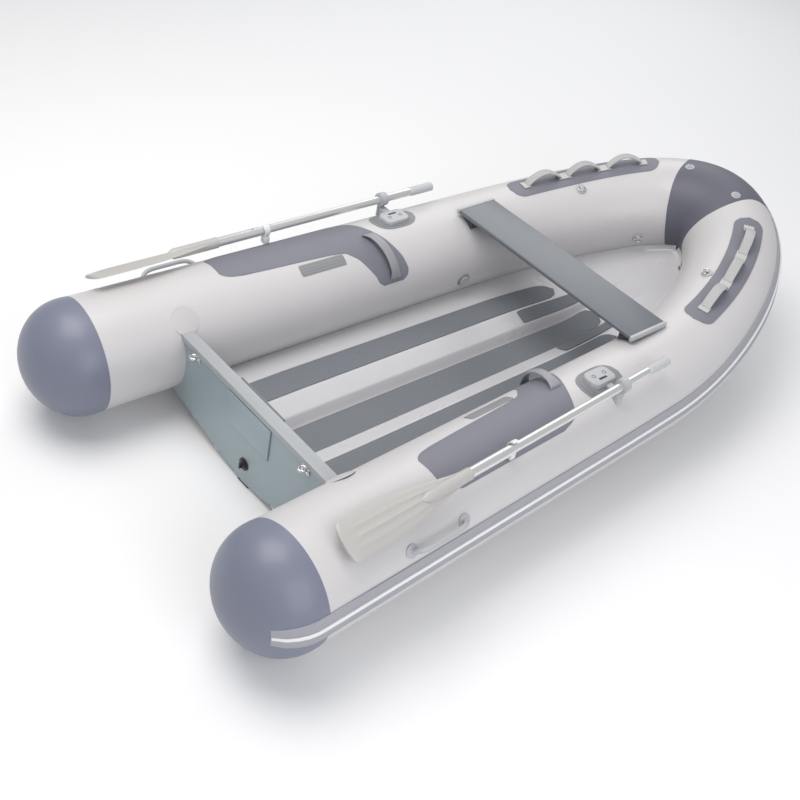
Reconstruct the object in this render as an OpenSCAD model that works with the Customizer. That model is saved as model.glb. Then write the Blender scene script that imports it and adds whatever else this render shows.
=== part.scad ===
// Rigid-hull inflatable tender with stowed oars.
// Drawn in the hull's own frame: +Y to the bow, +X to starboard, +Z up,
// and moved last so that the origin is under its middle, on the keel guard's underside.

/* [Buoyancy tube] */
// Half spacing of the tube axes at the stern seam
stern_half = 627; // [560:1:760]
// Half spacing of the tube axes where the bow curve starts
mid_half = 556; // [500:1:680]
// Length of the straight tube, measured fore and aft
straight_len = 1724; // [1400:1:2100]
// Length of the bow curve, measured fore and aft
bow_len = 1117; // [950:1:1400]
// Fullness of the bow curve along the boat
bow_handle = 738; // [600:1:900]
// Half width of the blunt bow
bow_blunt = 238; // [180:1:320]
// Rise of the tube axis at the bow
bow_rise = 194; // [120:1:260]
// Drop of the tube axis at the stern seam
stern_drop = 20; // [0:1:40]
// Tube radius at the stern seam
r_stern = 215; // [190:1:250]
// Tube radius where the bow curve starts
r_mid = 204; // [180:1:240]
// Tube radius at the bow
r_bow = 208; // [180:1:240]
// Length of the stern cones
cone_len = 195; // [180:1:300]
// Thickness of the tube fabric
skin = 1.5; // [1:0.1:3]
// Length of the rubbing strake that runs on over the stern cone
strake_on_cone = 150; // [100:10:160]
// Half length of the dark bow section along the tube
bow_section = 190; // [150:5:260]

/* [Hull] */
// Depth of the keel below the tube axis
keel_depth = 275; // [250:1:340]
// Thickness of the hull shell
hull_wall = 3; // [2:0.5:6]
// Thickness of the deck liner
liner_wall = 3; // [2:0.5:6]
// Depth of the side decks below the tube axis
deck_depth = 125; // [100:1:150]
// Depth of the central well below the side decks
well_depth = 75; // [40:1:90]
// Half width of the central well's floor
well_half = 78; // [60:1:110]
// Thickness of the non-skid pads
pad_thick = 2.5; // [1.5:0.5:4]
// Thickness of the keel guard
guard_thick = 5; // [3:1:10]
// Width of the keel guard
guard_w = 64; // [50:1:90]

/* [Transom] */
// Aft face of the transom, forward of the stern seam
transom_fwd = 318; // [250:1:420]
// Thickness of the transom board
transom_thick = 40; // [30:1:50]
// Height of the transom's top edge above the tube axis
transom_top = 98; // [70:1:130]
// Half width of the motor pads
motor_pad_half = 128; // [100:1:160]
// Half spacing of the lifting eyes
eye_half = 327; // [300:1:350]
// Radius of the drain bore
drain_r = 11; // [8:0.5:14]

/* [Seat] */
// Length of the seat board
seat_len = 990; // [940:1:1040]
// Width of the seat board
seat_w = 208; // [180:1:240]
// Thickness of the seat board
seat_thick = 18; // [14:1:24]
// Distance of the seat's centre forward of the stern seam
seat_at = 1806; // [1770:1:1850]

/* [Oars and rowlocks] */
// Radius of the oar's upper shaft
shaft_r = 16; // [14:0.5:18]
// Length of the oar abaft the rowlock
oar_aft = 1315; // [1100:1:1340]
// Length of the oar forward of the rowlock
oar_fwd = 265; // [220:1:275]
// Width of the blade
blade_w = 136; // [115:1:150]
// Length of the blade
blade_len = 500; // [400:1:520]
// Outboard offset of the rowlock ring from the tube axis
ring_out = 118; // [110:1:130]
// Height of the rowlock ring above the tube axis
ring_up = 241; // [238:1:252]

/* [Hidden] */

$fn = 48;
gap = 0.4;             // clearance between bonded pieces
fit = 0.1;             // radial clearance of a turning or sliding fit
ring_step = 50;        // spacing of the rings of a curved tube
tube_sides = 32;

// ---- Tube centreline ----
stern_y = -1090;
mid_y = stern_y + straight_len;
bow_y = mid_y + bow_len;
toe = atan2(stern_half - mid_half, straight_len);
straight_run = norm([stern_half - mid_half, straight_len]);

// One point of the bow curve: q = 0 at its start, 1 at the bow.
function bow_point(q) =
    let (a = 1 - q, k = q * q * (3 - 2 * q), slope = stern_drop / straight_len)
    [a * a * a * mid_half + 3 * a * a * q * (mid_half - bow_handle * sin(toe)) + 3 * a * q * q * bow_blunt,
     a * a * a * mid_y + 3 * a * a * q * (mid_y + bow_handle * cos(toe)) + (3 * a + q) * q * q * bow_y,
     bow_rise * k + slope * 3 * bow_handle * q * a * a];

curve_steps = 60;
// Pairs of [distance from the bow, curve parameter].
curve_table = [for (i = 0, run = 0; i <= curve_steps;
    run = run + norm(bow_point(1 - min(i + 1, curve_steps) / curve_steps) - bow_point(1 - i / curve_steps)),
    i = i + 1) [run, 1 - i / curve_steps]];
curve_run = curve_table[curve_steps][0];
seam_run = curve_run + straight_run;      // distance along the tube from the bow to the stern seam

// Centre of the tube at the signed distance s from the bow, positive to starboard.
function centre(s) =
    let (a = abs(s), k = (a - curve_run) / straight_run,
         p = a < curve_run ? bow_point(lookup(a, curve_table))
            : [mid_half + (stern_half - mid_half) * k, mid_y - straight_len * k, -stern_drop * k])
    [s < 0 ? -p[0] : p[0], p[1], p[2]];

// Radius of the tube at s; abaft the seam it falls off as an ellipse.
function radius(s) =
    let (a = abs(s), q = lookup(a, curve_table), k = (a - curve_run) / straight_run)
    a < curve_run ? r_mid + (r_bow - r_mid) * q * q * (3 - 2 * q)
    : a < seam_run ? r_mid + (r_stern - r_mid) * k
    : r_stern * sqrt(max(0, 1 - pow((a - seam_run) / cone_len, 2)));

function unit(v) = v / norm(v);
function along(s) = unit(centre(s + 2) - centre(s - 2));
function outboard(s) = let (t = along(s)) unit([-t[1], t[0], 0]);
function upward(s) = cross(outboard(s), along(s)) * (cross(outboard(s), along(s))[2] < 0 ? -1 : 1);
function normal(s, phi) = cos(phi) * outboard(s) + sin(phi) * upward(s);
// Point on the tube: phi is 0 outboard, 90 on top and 180 inboard; lift is the height above the fabric.
function surf(s, phi, lift) = centre(s) + (radius(s) + lift) * normal(s, phi);

// Frame with Z out of the tube, X along it towards increasing s.
function seat_frame(s, phi, lift) =
    let (p = surf(s, phi, lift), z = normal(s, phi), x = unit(along(s) - (along(s) * z) * z), y = cross(z, x))
    [[x[0], y[0], z[0], p[0]], [x[1], y[1], z[1], p[1]], [x[2], y[2], z[2], p[2]], [0, 0, 0, 1]];

tip_y = stern_y - cone_len * cos(toe);
middle_y = (bow_y + r_bow + tip_y) / 2;
base_z = keel_depth + guard_thick;

// ---- Keel and deck lines ----
forefoot_y = 650;
stem_point = surf(0, 232, gap);
function keel_z(y) =
    let (k = max(0, (y - forefoot_y) / (stem_point[1] - forefoot_y)))
    -keel_depth + (keel_depth + stem_point[2]) * pow(k, 2.2);
hull_phi = 232;        // where the hull's flange meets the tube
deck_phi = 217;        // where the deck liner meets the tube
// Distance along the straight tube at which its surface at phi crosses the given y.
function flange_s(y, phi) = curve_run + (mid_y - y) / cos(toe) + r_stern * cos(phi) * tan(toe);
transom_y = stern_y + transom_fwd;
transom_front = transom_y + transom_thick;

// ---- Features along the tube, by distance from the bow ----
// The side patch runs from patch_fore to patch_aft at each angle round the tube.
patch_fore = [[55, 1960], [60, 1880], [68, 1840], [90, 1800], [110, 1765], [140, 1722], [154, 1712], [162, 1745]];
patch_aft = [[55, 2450], [62, 2520], [100, 2520], [108, 2460], [112, 1985], [125, 1935], [154, 1872], [162, 1845]];
patch_thick = 1.6;
loops = [[330, 497], [534, 702], [738, 922]];
strake_line = [[0, 28], [500, 25], [850, 19], [1150, 10], [1500, 7], [4000, 6]];
upper_ring_s = 672;
lower_ring_s = 380;
valve_spots = [[-1400, 190], [1640, 190], [1400, 190]];   // port, starboard, bow chamber
rowlock_s = seam_run - 1412;
plate_s = 2100;
side_handle_s = 2604;

module place() {
    translate([0, -middle_y, base_z]) children();
}

module both_sides() {
    children();
    mirror([1, 0, 0]) children();
}

// Draws its children on one side: 1 is starboard, -1 is port.
module on_side(side) {
    if (side > 0) children();
    else mirror([1, 0, 0]) children();
}

module on_tube(s, phi, lift) {
    multmatrix(seat_frame(s, phi, lift)) children();
}

// Closed slab between two surfaces given as functions of u and v in 0..1.
module slab(nu, nv, inner, outer) {
    w = nv + 1;
    half = (nu + 1) * w;
    points = concat(
        [for (i = [0:nu]) for (j = [0:nv]) inner(i / nu, j / nv)],
        [for (i = [0:nu]) for (j = [0:nv]) outer(i / nu, j / nv)]);
    faces = concat(
        [for (i = [0:nu - 1]) for (j = [0:nv - 1]) each [
            [i * w + j, i * w + j + 1, (i + 1) * w + j + 1],
            [i * w + j, (i + 1) * w + j + 1, (i + 1) * w + j],
            [half + i * w + j, half + (i + 1) * w + j + 1, half + i * w + j + 1],
            [half + i * w + j, half + (i + 1) * w + j, half + (i + 1) * w + j + 1]]],
        [for (i = [0:nu - 1]) each [
            [i * w, (i + 1) * w, half + (i + 1) * w],
            [i * w, half + (i + 1) * w, half + i * w],
            [i * w + nv, half + (i + 1) * w + nv, (i + 1) * w + nv],
            [i * w + nv, half + i * w + nv, half + (i + 1) * w + nv]]],
        [for (j = [0:nv - 1]) each [
            [j, half + j + 1, j + 1],
            [j, half + j, half + j + 1],
            [nu * w + j, nu * w + j + 1, half + nu * w + j + 1],
            [nu * w + j, half + nu * w + j + 1, half + nu * w + j]]]);
    polyhedron(points, faces);
}

// Hollow length of curved tube between s0 and s1.
module curved_tube(s0, s1) {
    n = ceil(abs(s1 - s0) / ring_step);
    m = tube_sides;
    half = (n + 1) * m;
    points = concat(
        [for (i = [0:n]) for (j = [0:m - 1]) surf(s0 + (s1 - s0) * i / n, j * 360 / m, 0)],
        [for (i = [0:n]) for (j = [0:m - 1]) surf(s0 + (s1 - s0) * i / n, j * 360 / m, -skin)]);
    faces = concat(
        [for (i = [0:n - 1]) for (j = [0:m - 1]) let (k = (j + 1) % m) each [
            [i * m + j, i * m + k, (i + 1) * m + k],
            [i * m + j, (i + 1) * m + k, (i + 1) * m + j],
            [half + i * m + j, half + (i + 1) * m + k, half + i * m + k],
            [half + i * m + j, half + (i + 1) * m + j, half + (i + 1) * m + k]]],
        [for (j = [0:m - 1]) let (k = (j + 1) % m) each [
            [j, half + k, k],
            [j, half + j, half + k],
            [n * m + j, n * m + k, half + n * m + k],
            [n * m + j, half + n * m + k, half + n * m + j]]]);
    polyhedron(points, faces);
}

// Turns its children so that +Z runs aft along the straight tube from its forward end.
module straight_axis() {
    translate([mid_half, mid_y, 0])
        multmatrix(axis_frame(along(seam_run - 100)))
            children();
}
function axis_frame(z) =
    let (x = unit(cross([0, 0, 1], z)), y = cross(z, x))
    [[x[0], y[0], z[0], 0], [x[1], y[1], z[1], 0], [x[2], y[2], z[2], 0], [0, 0, 0, 1]];

// Solid of the straight starboard tube, grown by extra.
module tube_core(extra) {
    straight_axis()
        cylinder(h = straight_run, r1 = r_mid + extra, r2 = r_stern + extra, $fn = 96);
}

// ---- Hull ----
hull_columns = 6;
function hull_edge(s) = surf(s, hull_phi, gap + hull_wall * 0.85);
// Height of the hull's underside at the share f of its half width, for the edge point e.
function hull_z(f, e) = keel_z(e[1]) + (e[2] - keel_z(e[1])) * pow(f, 1.15);
// Height of the hull's inner face at x and y on its flat run.
function hull_line(x, y) =
    let (e = hull_edge(flange_s(y, hull_phi)), k = floor(x / e[0] * hull_columns) / hull_columns,
         t = (x / e[0] - k) * hull_columns)
    hull_z(k, e) * (1 - t) + hull_z(k + 1 / hull_columns, e) * t + hull_wall;
module hull_shell() {
    s_aft = flange_s(transom_y, hull_phi);
    // u runs from the transom to the stem, v from port edge to starboard edge
    outer = function(u, v)
        let (s = s_aft * (1 - u) + 12 * u, e = hull_edge(s), f = abs(2 * v - 1))
        [e[0] * (2 * v - 1), e[1], hull_z(f, e)];
    inner = function(u, v) outer(u, v) + [0, 0, hull_wall];
    color("gainsboro") slab(34, 2 * hull_columns, outer, inner);
}

// Height of the deck across the boat: x is the distance off the centreline.
function deck_profile(x) =
    lookup(x, [[0, -well_depth], [well_half, -well_depth], [well_half + 22, -well_depth * 0.4],
        [well_half + 100, 0], [1000, 0]]);

deck_stem_s = 60;
deck_rows = 30;
// Distance along the tube of the deck's row i, counted from the transom.
function deck_station(i) =
    let (s_aft = flange_s(transom_front + gap, deck_phi)) s_aft + (deck_stem_s - s_aft) * i / deck_rows;
// Number of deck rows abaft y.
function rows_to(y) = len([for (i = [0:deck_rows]) if (deck_edge(deck_station(i))[1] < y) i]);
function deck_edge(s) = surf(s, deck_phi, gap);
// The deck rises towards the bow and its well fades out.
function deck_z(x, s) =
    let (e = deck_edge(s), fade = max(0, min(1, (e[1] - 900) / 500)), k = fade * fade * (3 - 2 * fade),
         level = -deck_depth * (1 - k) + (e[2] - 20) * k,
         t = pow(min(1, abs(x) / e[0]), 8))
    (level + deck_profile(abs(x) * max(1, 430 / e[0])) * (1 - k)) * (1 - t) + e[2] * t;

// The well's corners get their own columns, so that they stay sharp.
deck_columns = [0, 0.5, 1, 0, 0, 0.4, 0.7, 0.9, 1];
function deck_column(j, edge) =
    let (narrow = min(1, edge / 430))
    j == 0 ? 0
    : j == 1 ? well_half * narrow * 0.5
    : j == 2 ? well_half * narrow
    : j == 3 ? (well_half + 22) * narrow
    : j == 4 ? (well_half + 100) * narrow
    : (well_half + 100) * narrow + (edge - (well_half + 100) * narrow) * deck_columns[j];

module deck_liner() {
    top = function(u, v)
        let (s = deck_station(round(u * deck_rows)), e = deck_edge(s), j = round(abs(16 * v - 8)),
             x = deck_column(j, e[0]))
        [v < 0.5 ? -x : x, e[1], deck_z(x, s)];
    bottom = function(u, v) top(u, v) - [0, 0, liner_wall];
    color("whitesmoke") slab(deck_rows, 16, bottom, top);
}

// A non-skid pad on the deck's own rows between y0 and y1; it narrows as the deck does.
module floor_pad(x0, x1, y0, y1, lift) {
    i0 = rows_to(y0);
    i1 = rows_to(y1);
    low = function(u, v)
        let (s = deck_station(round(i0 + (i1 - i0) * u)), e = deck_edge(s),
             x = (x0 + (x1 - x0) * v) * min(1, e[0] / 430))
        [x, e[1], deck_z(abs(x), s) + lift];
    high = function(u, v) low(u, v) + [0, 0, pad_thick];
    slab(i1 - i0, 4, low, high);
}
middle_pad_lift = 0.9;
side_pad_lift = 1.6;     // the deck bends under these

pad_aft = transom_front + 45;
module floor_pads() {
    color("slategray") {
        floor_pad(-(well_half - 6), well_half - 6, pad_aft, 1130, middle_pad_lift);
        for (side = [-1, 1]) {
            floor_pad(side * (well_half + 165) - 59, side * (well_half + 165) + 59, pad_aft, 1020,
                side_pad_lift);
            floor_pad(side * (well_half + 61) - 33, side * (well_half + 61) + 33, 720, 1100, side_pad_lift);
        }
    }
}

module keel_guard() {
    color("dimgray")
        translate([0, forefoot_y, 0]) rotate([90, 0, 0])
            linear_extrude(forefoot_y - transom_y)
                polygon([[-guard_w / 2, -base_z], [guard_w / 2, -base_z],
                    [guard_w / 2, -keel_depth - gap], [-guard_w / 2, -keel_depth - gap]]);
}

stringer_x = 250;
module hull_stringers() {
    top_z = -deck_depth - liner_wall - 2 * gap;
    keelson_top = top_z - well_depth;
    fore_end = 560;
    color("burlywood") translate([0, fore_end, 0]) rotate([90, 0, 0]) {
        linear_extrude(fore_end - transom_front - 6)
            polygon([[-30, hull_line(30, fore_end) + gap], [30, hull_line(30, fore_end) + gap],
                [30, keelson_top], [-30, keelson_top]]);
        for (side = [-1, 1])
            linear_extrude(fore_end - transom_front - 6)
                polygon([[side * (stringer_x - 8), hull_line(stringer_x - 8, fore_end) + gap],
                    [side * (stringer_x + 8), hull_line(stringer_x + 8, fore_end) + gap],
                    [side * (stringer_x + 8), top_z], [side * (stringer_x - 8), top_z]]);
    }
}

// ---- Transom ----
transom_half = stern_half - r_stern * 0.55;

module transom_outline() {
    edge = hull_edge(flange_s(transom_y, hull_phi))[0];
    right = [for (i = [0:hull_columns]) let (x = min(edge, transom_half) * i / hull_columns)
        [x, hull_line(x * 0.999, transom_y) + 3 * gap]];
    left = [for (i = [hull_columns:-1:1]) [-right[i][0], right[i][1]]];
    polygon(concat(right, [[transom_half, right[hull_columns][1]], [transom_half, transom_top],
        [-transom_half, transom_top], [-transom_half, right[hull_columns][1]]], left));
}

module transom_board() {
    color("lightslategray") difference() {
        translate([0, transom_front, 0]) rotate([90, 0, 0]) linear_extrude(transom_thick) transom_outline();
        both_sides() tube_core(gap);
        translate([0, transom_y - 1, drain_z]) rotate([-90, 0, 0]) cylinder(h = transom_thick + 2, r = drain_r + 4 + gap);
        both_sides() eye_bores(eye_bolt_r + fit);
    }
}

cap_thick = 5;
module transom_cap() {
    color("gainsboro") difference() {
        translate([-transom_half, transom_y - cap_thick, transom_top - 22])
            cube([2 * transom_half, transom_thick + 2 * cap_thick, 22 + gap + cap_thick]);
        translate([-transom_half - 1, transom_y - gap, transom_top - 23])
            cube([2 * transom_half + 2, transom_thick + 2 * gap, 23 + gap]);
        both_sides() tube_core(gap);
        both_sides() translate([eye_half - 21, transom_y - 20, transom_top - 40]) cube([42, 20, 60]);
    }
}

module motor_pad_outer() {
    color("slategray")
        translate([-motor_pad_half, transom_y - 6 - gap, transom_top - 160]) cube([2 * motor_pad_half, 6, 136]);
}

module motor_pad_inner() {
    color("gray")
        translate([-motor_pad_half, transom_front + cap_thick + gap, transom_top - 104])
            cube([2 * motor_pad_half, 8, 110]);
}

eye_bolt_r = 4;
eye_z = transom_top - 20;
module eye_bores(r) {
    for (dx = [-12, 12])
        translate([eye_half + dx, transom_y - 30, eye_z - 14]) rotate([-90, 0, 0])
            cylinder(h = transom_thick + 60, r = r);
}

eye_r = 9;
module transom_eyes() {
    color("silver") both_sides() difference() {
        union() {
            translate([eye_half - 20, transom_y - 5, eye_z - 26]) cube([40, 5 - gap, 34]);
            translate([eye_half, transom_y - 20, eye_z]) cylinder(h = 10, r = 17, center = true);
            translate([eye_half - 17, transom_y - 20, eye_z - 5]) cube([34, 18, 10]);
        }
        translate([eye_half, transom_y - 20, eye_z]) cylinder(h = 12, r = eye_r, center = true);
        eye_bores(eye_bolt_r + fit);
    }
}

module eye_bolts() {
    color("gray") both_sides() for (dx = [-12, 12]) translate([eye_half + dx, 0, eye_z - 14]) {
        translate([0, transom_y - 5 - gap, 0]) rotate([-90, 0, 0])
            cylinder(h = transom_thick + 14, r = eye_bolt_r);
        translate([0, transom_y - 5 - gap, 0]) rotate([90, 0, 0]) cylinder(h = 4, r = 6);
        translate([0, transom_front + gap + cap_thick + gap, 0]) rotate([-90, 0, 0]) cylinder(h = 6, r = 7, $fn = 6);
    }
}

drain_z = -deck_depth - well_depth + drain_r + 6;
module drain_socket() {
    color("dimgray") difference() {
        union() {
            translate([0, transom_y - 4, drain_z]) rotate([-90, 0, 0]) cylinder(h = transom_thick + 4, r = drain_r + 4);
            translate([0, transom_y - 4 - gap, drain_z]) rotate([-90, 0, 0]) cylinder(h = 4, r = drain_r + 14);
        }
        translate([0, transom_y - 6, drain_z]) rotate([-90, 0, 0]) cylinder(h = transom_thick + 10, r = drain_r);
    }
}

module drain_plug() {
    color("black") translate([0, transom_y - 5 - gap, drain_z]) {
        rotate([-90, 0, 0]) cylinder(h = transom_thick - 10, r = drain_r - fit);
        rotate([90, 0, 0]) cylinder(h = 5, r = drain_r + 6);
        translate([-3, -17, -drain_r]) cube([6, 13, 2 * drain_r]);
    }
}

module bow_eye() {
    y = 1180;
    z = keel_z(y);
    slope = atan2(keel_z(y + 20) - z, 20);
    color("silver") translate([0, y, z]) rotate([slope, 0, 0]) difference() {
        translate([-5, -24, -26]) cube([10, 48, 26 - gap]);
        translate([-6, 0, -14]) rotate([0, 90, 0]) cylinder(h = 12, r = 7.5);
    }
}

// ---- Buoyancy tube ----
module valve_hole(s, phi) {
    on_tube(s, phi, -12) cylinder(h = 24, r = valve_r + gap);
}

module aft_tube(side) {
    on_side(side) difference() {
        tube_core(0);
        straight_axis() translate([0, 0, -1])
            cylinder(h = straight_run + 2, r1 = r_mid - skin, r2 = r_stern - skin, $fn = 96);
        for (v = valve_spots)
            if (v[0] * side > 0) valve_hole(abs(v[0]), v[1]);
    }
}

module aft_tubes() {
    color("gainsboro") {
        aft_tube(1);
        aft_tube(-1);
    }
}

module fore_tubes() {
    color("gainsboro") both_sides() curved_tube(bow_section + gap, curve_run - gap);
}

module bow_tube() {
    color("dimgray") curved_tube(-bow_section, bow_section);
}

cone_steps = 14;
module aft_cones() {
    outer = [for (i = [0:cone_steps]) let (a = 90 * i / cone_steps) [r_stern * cos(a), gap + (cone_len - gap) * sin(a)]];
    inner = [for (i = [cone_steps:-1:0]) let (a = 90 * i / cone_steps)
        [(r_stern - skin) * cos(a), gap + (cone_len - gap - skin) * sin(a)]];
    color("slategray") both_sides() straight_axis() translate([0, 0, straight_run])
        rotate_extrude($fn = 96) polygon(concat(outer, inner));
}

// Each bulkhead's distance from the bow and its clearance inside the fabric.
baffle_spots = [[-1250, 1.3], [1520, 0.5]];
module tube_baffles() {
    color("lightgray") for (b = baffle_spots) {
        r = radius(b[0]) - skin - b[1];
        multmatrix(tube_frame(b[0])) rotate_extrude($fn = 96)
            polygon([[0, 60], [r * 0.6, 44], [r, 0], [r, -2], [r * 0.6 - 1, 42], [0, 58]]);
    }
}
function tube_frame(s) =
    let (z = along(s), x = outboard(s), y = cross(z, x), p = centre(s))
    [[x[0], y[0], z[0], p[0]], [x[1], y[1], z[1], p[1]], [x[2], y[2], z[2], p[2]], [0, 0, 0, 1]];

// Stations of the strake on one side: the rings of the curved tubes, then the straight tube and the cone.
bow_rings = ceil(2 * bow_section / ring_step) / 2;
fore_rings = ceil((curve_run - bow_section - 2 * gap) / ring_step);
strake_half = concat(
    [for (i = [1:bow_rings]) bow_section * i / bow_rings],
    [for (i = [1:fore_rings]) bow_section + (curve_run - bow_section) * i / fore_rings],
    [for (i = [1:4]) curve_run + straight_run * i / 4],
    [for (i = [1:cone_steps]) let (run = cone_len * sin(90 * i / cone_steps))
        if (run < strake_on_cone) seam_run + run]);
strake_stations = concat([for (i = [len(strake_half) - 1:-1:0]) -strake_half[i]], [0], strake_half);

// Strip along the outside of the tube between two angles from the strake line.
module strake(lo_deg, hi_deg, lift, thick) {
    n = len(strake_stations) - 1;
    face = function(h) function(u, v)
        let (s = strake_stations[round(u * n)], c = lookup(abs(s), strake_line))
        surf(s, c + lo_deg + (hi_deg - lo_deg) * v, h);
    slab(n, 4, face(lift), face(lift + thick));
}
strake_lift = 1.2;
band_thick = 3;

module rub_band() {
    color("darkgray") strake(-13, 11, strake_lift, band_thick);
}

module rub_bead() {
    color("white") strake(-3, 1, strake_lift + band_thick + gap, 6);
}

module side_patch() {
    face = function(h) function(u, v)
        let (phi = 55 + 107 * v, s0 = lookup(phi, patch_fore), s1 = lookup(phi, patch_aft)) surf(s0 + (s1 - s0) * u, phi, h);
    slab(1, 24, face(gap), face(gap + patch_thick));
}

module side_patches() {
    color("slategray") both_sides() side_patch();
}

module label_plates() {
    face = function(h) function(u, v) surf(plate_s - 105 + 210 * u, 114 + 13 * v, h);
    color("silver") both_sides() slab(2, 4, face(gap), face(gap + 1.5));
}

handle_lift = gap + patch_thick + gap;
module grab_handles() {
    arch = function(v) 30 * pow(sin(180 * v), 0.7);
    face = function(h) function(u, v) surf(1814 - 50 * v + 48 * u, 100 + 56 * v, handle_lift + h + arch(v));
    color("lightgray") both_sides() slab(1, 14, face(0), face(5));
}

module loop_patches() {
    face = function(h) function(u, v)
        let (s = 252 + 762 * u, w = 18 * pow(sin(180 * min(0.94, max(0.06, u))), 0.22)) surf(s, 88 + w * (2 * v - 1), h);
    color("slategray") both_sides() slab(24, 6, face(1), face(1 + patch_thick));
}

loop_height = 42;
loop_half_deg = 5;
module loop_handles() {
    for (l = loops) {
        face = function(h) function(u, v)
            surf(l[0] + (l[1] - l[0]) * u, 88 + loop_half_deg * (2 * v - 1),
                1 + patch_thick + gap + h + loop_height * pow(sin(180 * u), 0.85));
        color("gainsboro") both_sides() slab(12, 2, face(0), face(4));
    }
}

module side_handles() {
    span = 230;
    reach = 34;
    color("silver") both_sides() on_tube(side_handle_s, 29, 0) {
        for (x = [-span / 2, span / 2]) translate([x, 0, gap + 0.6]) {
            cylinder(h = 4, r = 24);
            cylinder(h = reach, r = 9);
            translate([0, 0, reach]) sphere(r = 9);
        }
        translate([-span / 2, 0, gap + 0.6 + reach]) rotate([0, 90, 0]) cylinder(h = span, r = 9);
    }
}

module bow_eyelets() {
    color("white") for (s = [-120, 120]) on_tube(s, 100, gap + 0.3) difference() {
        union() {
            cylinder(h = 3, r = 21);
            cylinder(h = 8, r = 12);
        }
        translate([0, 0, 3]) cylinder(h = 6, r = 5);
    }
}

// ---- D-rings ----
ring_wire = 2.5;
ring_half = 17;
lug_h = 8;
ring_spots = [[upper_ring_s, 114.5], [lower_ring_s, 195]];
ring_lift = 1;
module ring_bases() {
    color("lightgray") for (p = ring_spots) both_sides() on_tube(p[0], p[1], ring_lift) difference() {
        union() {
            cylinder(h = 3, r = 21);
            translate([-7, -6, 0]) cube([14, 12, lug_h + 5]);
        }
        translate([-20, 0, lug_h]) rotate([0, 90, 0]) cylinder(h = 40, r = ring_wire + fit);
    }
}

// D-ring of spot k, lying rest_deg above the fabric on its inboard side.
module d_ring(k, side, rest_deg) {
    p = ring_spots[k];
    color("silver") on_side(side) on_tube(p[0], p[1], ring_lift + lug_h) rotate([rest_deg, 0, 180]) {
        $fn = 24;
        rotate([0, 90, 0]) cylinder(h = 2 * ring_half, r = ring_wire, center = true);
        rotate_extrude(angle = 180) translate([ring_half, 0]) circle(r = ring_wire);
        for (x = [-ring_half, ring_half]) translate([x, 0, 0]) sphere(r = ring_wire);
    }
}
upper_ring_rest = 12;
lower_ring_rest = 15;

// ---- Inflation valves ----
valve_r = 20;
module valve_body(s, phi) {
    on_tube(s, phi, 0) difference() {
        union() {
            translate([0, 0, gap + 0.6]) cylinder(h = 4, r = valve_r + 10);
            translate([0, 0, -34]) cylinder(h = 34 + 6, r = valve_r);
        }
        translate([0, 0, -10]) cylinder(h = 20, r = valve_r - 3);
        translate([0, 0, -40]) cylinder(h = 40, r = 5 + fit);
        translate([0, 0, -31]) cylinder(h = 18, r = valve_r - 5);
    }
}

module valve_bodies() {
    color("dimgray") for (v = valve_spots) on_side(v[0]) valve_body(abs(v[0]), v[1]);
}

module valve_cap(k) {
    v = valve_spots[k];
    color("gray") on_side(v[0]) on_tube(abs(v[0]), v[1], 0) {
        translate([0, 0, 6 + gap]) cylinder(h = 5, r = valve_r + 4);
        translate([0, 0, -4]) cylinder(h = 10 + gap, r = valve_r - 3 - fit);
        translate([-14, -2.5, 11]) cube([28, 5, 5]);
    }
}

module valve_poppet(k) {
    v = valve_spots[k];
    color("white") on_side(v[0]) on_tube(abs(v[0]), v[1], 0) {
        translate([0, 0, -28]) cylinder(h = 21, r = 5);
        translate([0, 0, -17]) cylinder(h = 3.6, r = valve_r - 7);
    }
}

// ---- Seat ----
seat_y = stern_y + seat_at;
seat_z = r_mid + 7;
module seat_board() {
    color("slategray") translate([-seat_len / 2, seat_y - seat_w / 2, seat_z]) cube([seat_len, seat_w, seat_thick]);
}

module seat_end_caps() {
    color("ivory") both_sides() difference() {
        translate([seat_len / 2 - 6, seat_y - seat_w / 2 - 3, seat_z - 3]) cube([14, seat_w + 6, seat_thick + 6]);
        translate([0, seat_y - seat_w / 2 - gap, seat_z - gap]) cube([seat_len / 2 + gap, seat_w + 2 * gap, seat_thick + 2 * gap]);
    }
}

// Rubber holders bonded to the tubes, which the seat's ends rest on.
holder_x = seat_len / 2 - 70;
module seat_brackets() {
    color("black") both_sides() for (dy = [-80, 32]) difference() {
        translate([holder_x, seat_y + dy, seat_z - 46]) cube([50, 48, 46 - gap]);
        seat_seat();
    }
}

// Solid of the tube under the seat's end, grown by its bonding gap.
module seat_seat() {
    a = centre(curve_run - (seat_y - 150 - mid_y));
    b = centre(curve_run - (seat_y + 150 - mid_y));
    translate(a) multmatrix(axis_frame(unit(b - a))) translate([0, 0, -60])
        cylinder(h = norm(b - a) + 120, r = r_mid + 1, $fn = 96);
}

// ---- Rowlocks and oars ----
rowlock_at = centre(rowlock_s);
ring_point = [rowlock_at[0] + ring_out, rowlock_at[1] + 20, ring_up];
oar_yaw = 2.8;
oar_pitch = 1.2;
collar_r = shaft_r + 6;
ring_r = collar_r + fit + 6;
ring_w = 22;
pin_r = 6;
ear_z = ring_point[2] - ring_r - 1;

// Oar frame: -Y runs aft along the oar from the rowlock, Z up, X outboard.
module oar_frame(side) {
    on_side(side) translate(ring_point) rotate([0, 0, oar_yaw]) rotate([oar_pitch, 0, 0]) children();
}

module oar_rod(from, to, r) {
    translate([0, to, 0]) rotate([90, 0, 0]) cylinder(h = to - from, r = r);
}

module rowlock_bases() {
    face = function(h) function(u, v)
        let (w = 19 * pow(sin(180 * min(0.9, max(0.1, u))), 0.4)) surf(rowlock_s - 118 + 210 * u, 82 + w * (2 * v - 1), h);
    color("dimgray") both_sides() slab(12, 8, face(gap), face(6));
}

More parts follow.
